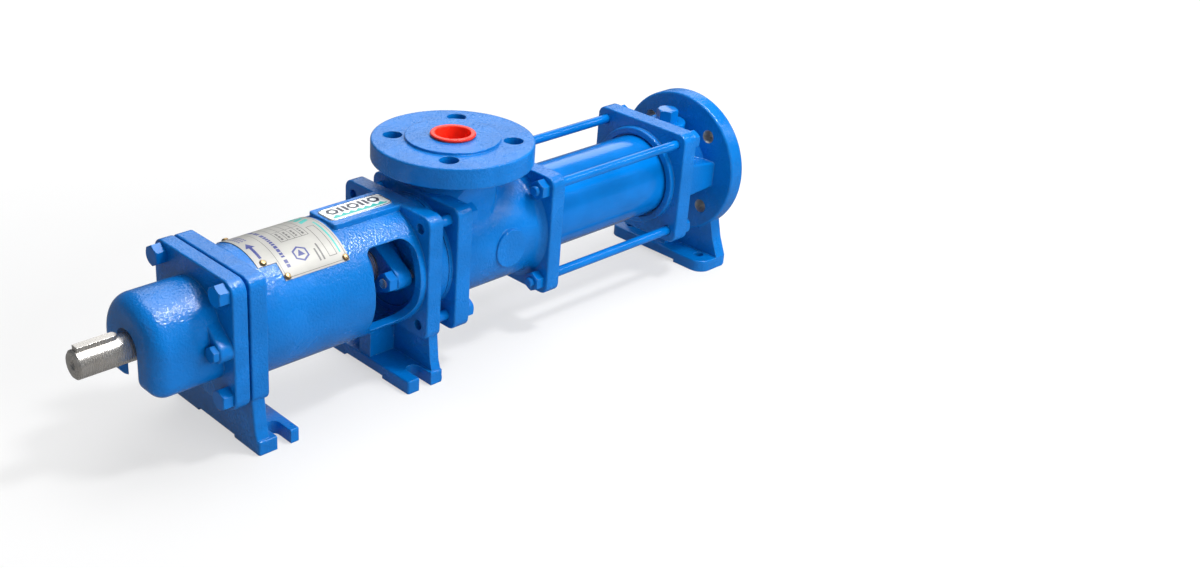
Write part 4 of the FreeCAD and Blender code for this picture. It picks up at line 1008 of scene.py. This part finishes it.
@dataclass
class Badge:
    """Rim and print of the flat badge on the pad. All figures are plain shapes, not writing."""

    palette: Palette
    rim_width: float = 1.1
    rim_height: float = 0.35
    rim_setback: float = 0.05
    rim_bevel: float = 0.2
    corner_radius: float = 5.0
    corner_steps: int = 8
    ink_lift: float = 0.03
    step: float = 40.0
    band_inset: float = 4.6
    band_span: Pair = (-8.9, -6.4)
    peaks: int = 7
    peak_start: float = 5.6
    peak_margins: float = 11.0
    peak_width: float = 7.2
    peak_tip: Pair = (4.6, -3.2)
    figures: int = 5
    figure_inset: float = 11.4
    figure_middle: float = 3.6
    ring_radius: float = 6.2
    ring_line: float = 3.0
    bar_offsets: Pair = (-4.4, 1.0)
    bar_width: float = 3.4
    bar_span: Pair = (-1.6, 8.8)
    low_x: float = field(init=False)
    high_x: float = field(init=False)
    half: float = field(init=False)
    top: float = field(init=False)

    def __post_init__(self) -> None:
        """Read the badge's place from the frame."""
        low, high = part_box("badge_plate")
        self.low_x, self.high_x = low.x / MM, high.x / MM
        self.half = high.y / MM
        self.top = high.z / MM

    def build(self) -> None:
        """Make the rim and the print."""
        self.rim()
        teal, dark = self.palette.teal_ink, self.palette.dark_ink
        add_prints("badge_band", self.band(), self.place, self.step, teal, Slot.BADGE)
        add_prints("badge_figures", self.signs(), self.place, self.step, dark, Slot.BADGE)

    def band(self) -> list[Outline]:
        """Teal band along the near edge, with a row of peaks on it.

        Returns:
            Outlines in badge millimetres.
        """
        length = self.high_x - self.low_x
        low, high = self.band_span
        shapes = [rectangle(self.band_inset, length - self.band_inset, low, high)]
        across, tip = self.peak_tip
        for i in range(self.peaks):
            x = self.peak_start + i * (length - self.peak_margins) / self.peaks
            shapes.append([(x, high), (x + self.peak_width, high), (x + across, tip)])
        return shapes

    def signs(self) -> list[Outline]:
        """Six-sided rings and pairs of bars by turns.

        Returns:
            Outlines in badge millimetres.
        """
        length = self.high_x - self.low_x
        pitch = (length - 2 * self.figure_inset) / (self.figures - 1)
        shapes = []
        for i in range(self.figures):
            x = self.figure_inset + i * pitch
            if i % 2 == 0:
                shapes += ring_of((x, self.figure_middle), self.ring_radius, self.ring_line, 6, 0.0)
            else:
                for offset in self.bar_offsets:
                    shapes.append(rectangle(x + offset, x + offset + self.bar_width, *self.bar_span))
        return shapes

    def place(self, x: float, s: float) -> Vector:
        """Point on the badge.

        Args:
            x: Millimetres along the pump from the badge's front end.
            s: Millimetres across the pump.

        Returns:
            The point in metres.
        """
        return Vector((self.low_x + x, s, self.top + self.ink_lift)) * MM

    def loop(self, inset: float) -> list[Pair]:
        """Rounded rectangle that runs inside the badge's edge.

        Args:
            inset: Distance from the edge.

        Returns:
            Points of (x, y) in millimetres.
        """
        radius = self.corner_radius - inset
        points = []
        right, left = self.high_x - self.corner_radius, self.low_x + self.corner_radius
        for middle_x, side_y, start in ((right, 1, 0), (left, 1, 90), (left, -1, 180), (right, -1, 270)):
            middle_y = side_y * (self.half - self.corner_radius)
            for i in range(self.corner_steps + 1):
                turn = math.radians(start + 90.0 * i / self.corner_steps)
                points.append((middle_x + radius * math.cos(turn), middle_y + radius * math.sin(turn)))
        return points

    def rim(self) -> None:
        """Raised silver frame round the badge."""
        shape = bmesh.new()
        rows = []
        for inset, lift in (
            (self.rim_setback, 0.0),
            (self.rim_bevel, self.rim_height),
            (self.rim_width - self.rim_bevel, self.rim_height),
            (self.rim_width, 0.0),
        ):
            level = self.top + lift
            rows.append([shape.verts.new(Vector((x, y, level)) * MM) for x, y in self.loop(inset)])
        count = len(rows[0])
        for j in range(len(rows) - 1):
            for i in range(count):
                k = (i + 1) % count
                shape.faces.new((rows[j][i], rows[j][k], rows[j + 1][k], rows[j + 1][i]))
        bmesh.ops.recalc_face_normals(shape, faces=shape.faces[:])
        add_piece("badge_rim", shape, self.palette.silver_film, Slot.BADGE, smooth=True)


def corner_axes(reach: float, height: float) -> list[Pair]:
    """Four lines along X at the corners of a square round the pump axis.

    Args:
        reach: Distance of each line from the axis along Y and Z, in millimetres.
        height: Height of the pump axis, in millimetres.

    Returns:
        Places of the lines in (y, z), in metres.
    """
    corners = [(side, level) for side in (-1, 1) for level in (-1, 1)]
    return [(side * reach * MM, (height + level * reach) * MM) for side, level in corners]


@dataclass
class TappedHoles:
    """Bare cut thread in the discharge flange's bolt holes."""

    palette: Palette
    pitch_radius: float = 55.0
    axis_height: float = AXIS_HEIGHT
    flange_start: float = 346.1
    flange_end: float = 363.6
    hole_radius: float = 7.0
    thread_height: float = 0.75
    pitch: float = 2.0
    end_gap: float = 0.3
    wall_gap: float = 0.02
    root_start: float = 0.2
    root_rise: float = 0.1

    def build(self) -> None:
        """Make one threaded lining for each hole."""
        start, end = self.flange_start + self.end_gap, self.flange_end - self.end_gap
        outer = self.hole_radius - self.wall_gap
        root = outer - self.root_rise
        profile = [(start, outer)]
        turns = int((end - start) / self.pitch)
        for i in range(turns):
            profile.append((start + self.pitch * i + self.root_start, root))
            profile.append((start + self.pitch * (i + 0.5), outer - self.thread_height))
        profile += [(start + self.pitch * turns, root), (end, outer)]
        axes = corner_axes(self.pitch_radius * math.sqrt(0.5), self.axis_height)
        points = [(x * MM, r * MM) for x, r in profile]
        add_turned("flange_threads", points, axes, self.palette.cut_thread, Slot.STEEL)


@dataclass
class StudThreads:
    """Painted thread crests on the tie rod ends that stand out of their nuts."""

    palette: Palette
    rod_radius: float = 4.7
    crest: float = 0.28
    pitch: float = 1.25
    stand_out: float = 4.0
    chamfer: float = 0.9
    bolt_offset: float = 47.2
    embed: float = 0.2
    slack: float = 0.01
    segments: int = 28
    axis_height: float = AXIS_HEIGHT

    def build(self) -> None:
        """Make the crests at both ends of the rods."""
        low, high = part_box("tie_rods")
        axes = corner_axes(self.bolt_offset, self.axis_height)
        inner = self.rod_radius - self.embed
        front, rear = low.x / MM, high.x / MM
        spans = {
            "front_stud_threads": (front + self.chamfer, front + self.stand_out),
            "rear_stud_threads": (rear - self.stand_out, rear - self.chamfer),
        }
        for name, (start, end) in spans.items():
            profile = [(start, inner)]
            x = start
            while x + self.pitch <= end + self.slack:
                profile.append((x, self.rod_radius))
                profile.append((x + self.pitch / 2, self.rod_radius + self.crest))
                x += self.pitch
            profile += [(x, self.rod_radius), (x, inner)]
            points = [(px * MM, r * MM) for px, r in profile]
            add_turned(name, points, axes, self.palette.smooth_enamel, Slot.PAINT, self.segments)


def clear_slots(item: bpy.types.Object, material: Material) -> None:
    """Give a whole object one material."""
    item.data.materials.clear()
    item.data.materials.append(material)


@dataclass
class NodeDresser:
    """Gives every carried-over node its finish."""

    palette: Palette
    cast: tuple[str, ...] = (
        "pedestal",
        "drive_end_cover",
        "suction_housing",
        "discharge_housing",
        "stuffing_box",
        "gland_follower",
    )

    def dress(self) -> None:
        """Assign a material to each node by its record slot."""
        finishes = {
            Slot.PAINT: self.palette.smooth_enamel,
            Slot.STEEL: self.palette.bright_steel,
            Slot.BEARING: self.palette.bearing_steel,
            Slot.CAGE: self.palette.brass,
            Slot.SCREW: self.palette.screw_brass,
            Slot.CHROME: self.palette.chrome,
            Slot.RUBBER: self.palette.rubber,
            Slot.GASKET: self.palette.gasket,
            Slot.BRAID: self.palette.braid,
            Slot.PLATE: self.palette.sheet,
            Slot.BADGE: self.palette.film,
            Slot.PLASTIC: self.palette.plastic,
        }
        for entry in frame["record"]["subparts"]:
            node = frame["nodes"][entry["node"]]
            slot = Slot(entry["material_slot"])
            material = self.palette.cast_enamel if entry["node"] in self.cast else finishes[slot]
            clear_slots(node, material)
            LOG.info("dressed node %s as %s", entry["node"], slot.value)


@dataclass(frozen=True)
class Lamp:
    """One soft rectangular lamp, in metres and watts, that glossy surfaces mirror if it gleams."""

    name: str
    place: Point
    target: Point
    size: Pair
    watts: float
    gleams: bool = True

    def hang(self) -> None:
        """Put the lamp in the scene, facing its target."""
        data = bpy.data.lights.new(self.name, "AREA")
        data.shape = "RECTANGLE"
        data.size, data.size_y = self.size
        data.energy = self.watts
        item = bpy.data.objects.new(self.name, data)
        item.location = self.place
        item.rotation_mode = "QUATERNION"
        item.rotation_quaternion = (Vector(self.target) - Vector(self.place)).to_track_quat("-Z", "Y")
        item.visible_glossy = self.gleams
        bpy.context.scene.collection.objects.link(item)


@dataclass
class Studio:
    """Floor, lamps, world and camera."""

    camera_place: Point = (-0.804988, -0.914032, 0.673703)
    heading: float = 40.171
    pitch: float = 26.111
    roll: float = 1.21
    focal_pixels: float = 1452.279
    principal: Pair = (400.416, 268.979)
    picture: tuple[int, int] = (1200, 568)
    sensor: float = 36.0
    floor_size: float = 14.0
    paper_greys: Pair = (0.59, 0.61)
    paper_glow: float = 0.50
    paper_light: float = 1.17
    paper_gleam: float = 0.18
    white: Colour = (1.0, 1.0, 1.0)
    gleam_tint: Colour = (0.80, 0.90, 1.0)
    soft_light: float = 0.27
    dim_gleam: float = 0.09
    white_view: float = 1.0
    near_paper: float = 0.38
    far_paper: float = 1.25
    paper_dip: float = 0.0002
    lamps: tuple[Lamp, ...] = (
        Lamp("overhead_softbox", (0.30, 0.15, 1.5), (0.0, 0.0, 0.1), (1.6, 0.9), 16.5),
        Lamp("key_patch", (0.35, -0.45, 1.35), (-0.2, 0.0, 0.12), (0.22, 0.22), 10.5),
        Lamp("gloss_strip", (1.15, -0.74, 0.95), (1.15, 0.0, 0.10), (1.3, 0.07), 3.2),
        Lamp("near_panel", (0.35, -1.6, 0.80), (0.05, 0.0, 0.1), (1.8, 0.6), 23.0, gleams=False),
        Lamp("left_fill", (-1.9, -0.6, 1.1), (-0.1, 0.0, 0.1), (0.9, 0.9), 0.8),
        Lamp("far_panel", (1.5, 1.7, 1.25), (0.0, 0.0, 0.15), (2.2, 0.9), 10.0),
    )

    def build(self) -> None:
        """Make everything that isn't part of the pump."""
        self.floor()
        self.world()
        for lamp in self.lamps:
            lamp.hang()
        self.camera()

    def floor(self) -> None:
        """White paper floor that keeps the pump's shadow and fades to plain white further out."""
        mesh = bpy.data.meshes.new("studio_floor")
        shape = bmesh.new()
        bmesh.ops.create_grid(shape, x_segments=8, y_segments=8, size=self.floor_size / 2)
        shape.to_mesh(mesh)
        shape.free()
        item = bpy.data.objects.new("studio_floor", mesh)
        item.location = (0.0, 0.0, -self.paper_dip)
        bpy.context.scene.collection.objects.link(item)
        sketch = Sketch("studio_paper")
        sketch.set(Roughness=0.7, Specular_IOR_Level=0.2)
        cloud = sketch.noise(3.0, 2.0)
        darker, lighter = ((grey, grey, grey) for grey in self.paper_greys)
        sketch.feed("Base Color", sketch.mix(sketch.ramp(cloud, 0.3, 0.7), darker, lighter))
        reach = sketch.node("VectorMath", operation="LENGTH")
        sketch.link(sketch.coordinates, reach.inputs[0])
        fade = sketch.ramp(reach.outputs["Value"], self.near_paper, self.far_paper, self.paper_glow, 1.0)
        path = sketch.node("LightPath")
        share = sketch.product(path.outputs["Is Camera Ray"], fade)
        seen = sketch.glowing(share, sketch.shader.outputs[0], self.paper_light)
        paper = sketch.glowing(path.outputs["Is Glossy Ray"], seen, self.paper_gleam)
        sketch.link(paper, sketch.output.inputs[0])
        clear_slots(item, sketch.material)

    def world(self) -> None:
        """Soft surround that is white to the camera and dim in reflections."""
        world = bpy.data.worlds.new("studio_world")
        bpy.context.scene.world = world
        world.use_nodes = True
        tree = world.node_tree
        tree.nodes.clear()
        output = tree.nodes.new("ShaderNodeOutputWorld")
        path = tree.nodes.new("ShaderNodeLightPath")
        shown = None
        for ray, tint, strength in (
            (None, self.white, self.soft_light),
            ("Is Glossy Ray", self.gleam_tint, self.dim_gleam),
            ("Is Camera Ray", self.white, self.white_view),
        ):
            shade = tree.nodes.new("ShaderNodeBackground")
            fill(shade, Color=tint, Strength=strength)
            if shown is None:
                shown = shade.outputs[0]
                continue
            mix = tree.nodes.new("ShaderNodeMixShader")
            tree.links.new(path.outputs[ray], mix.inputs[0])
            tree.links.new(shown, mix.inputs[1])
            tree.links.new(shade.outputs[0], mix.inputs[2])
            shown = mix.outputs[0]
        tree.links.new(shown, output.inputs[0])

    def camera(self) -> None:
        """Camera at the photograph's viewing angle."""
        data = bpy.data.cameras.new("studio_camera")
        width, height = self.picture
        data.sensor_width = self.sensor
        data.lens = self.sensor * self.focal_pixels / width
        data.shift_x = (width / 2 - self.principal[0]) / width
        data.shift_y = (self.principal[1] - height / 2) / width
        data.clip_start, data.clip_end = 0.05, 60.0
        yaw, dip, roll = (math.radians(a) for a in (self.heading, self.pitch, self.roll))
        forward = Vector((math.sin(yaw) * math.cos(dip), math.cos(yaw) * math.cos(dip), -math.sin(dip)))
        level = forward.cross(Vector((0, 0, 1))).normalized()
        above = level.cross(forward)
        right = level * math.cos(roll) + above * math.sin(roll)
        upward = above * math.cos(roll) - level * math.sin(roll)
        item = bpy.data.objects.new("studio_camera", data)
        turn = Matrix((right, upward, -forward)).transposed().to_4x4()
        item.matrix_world = Matrix.Translation(self.camera_place) @ turn
        bpy.context.scene.collection.objects.link(item)
        bpy.context.scene.camera = item


def set_colour_view() -> None:
    """Plain display transform."""
    bpy.context.scene.view_settings.view_transform = "Standard"


def main() -> None:
    """Build the looks in order."""
    logging.basicConfig(level=logging.INFO, format="%(name)s: %(message)s")
    palette = Palette()
    Studio().build()
    NodeDresser(palette).dress()
    DataPlate(palette).build()
    Badge(palette).build()
    TappedHoles(palette).build()
    StudThreads(palette).build()
    set_colour_view()


if __name__ == "__main__":
    main()
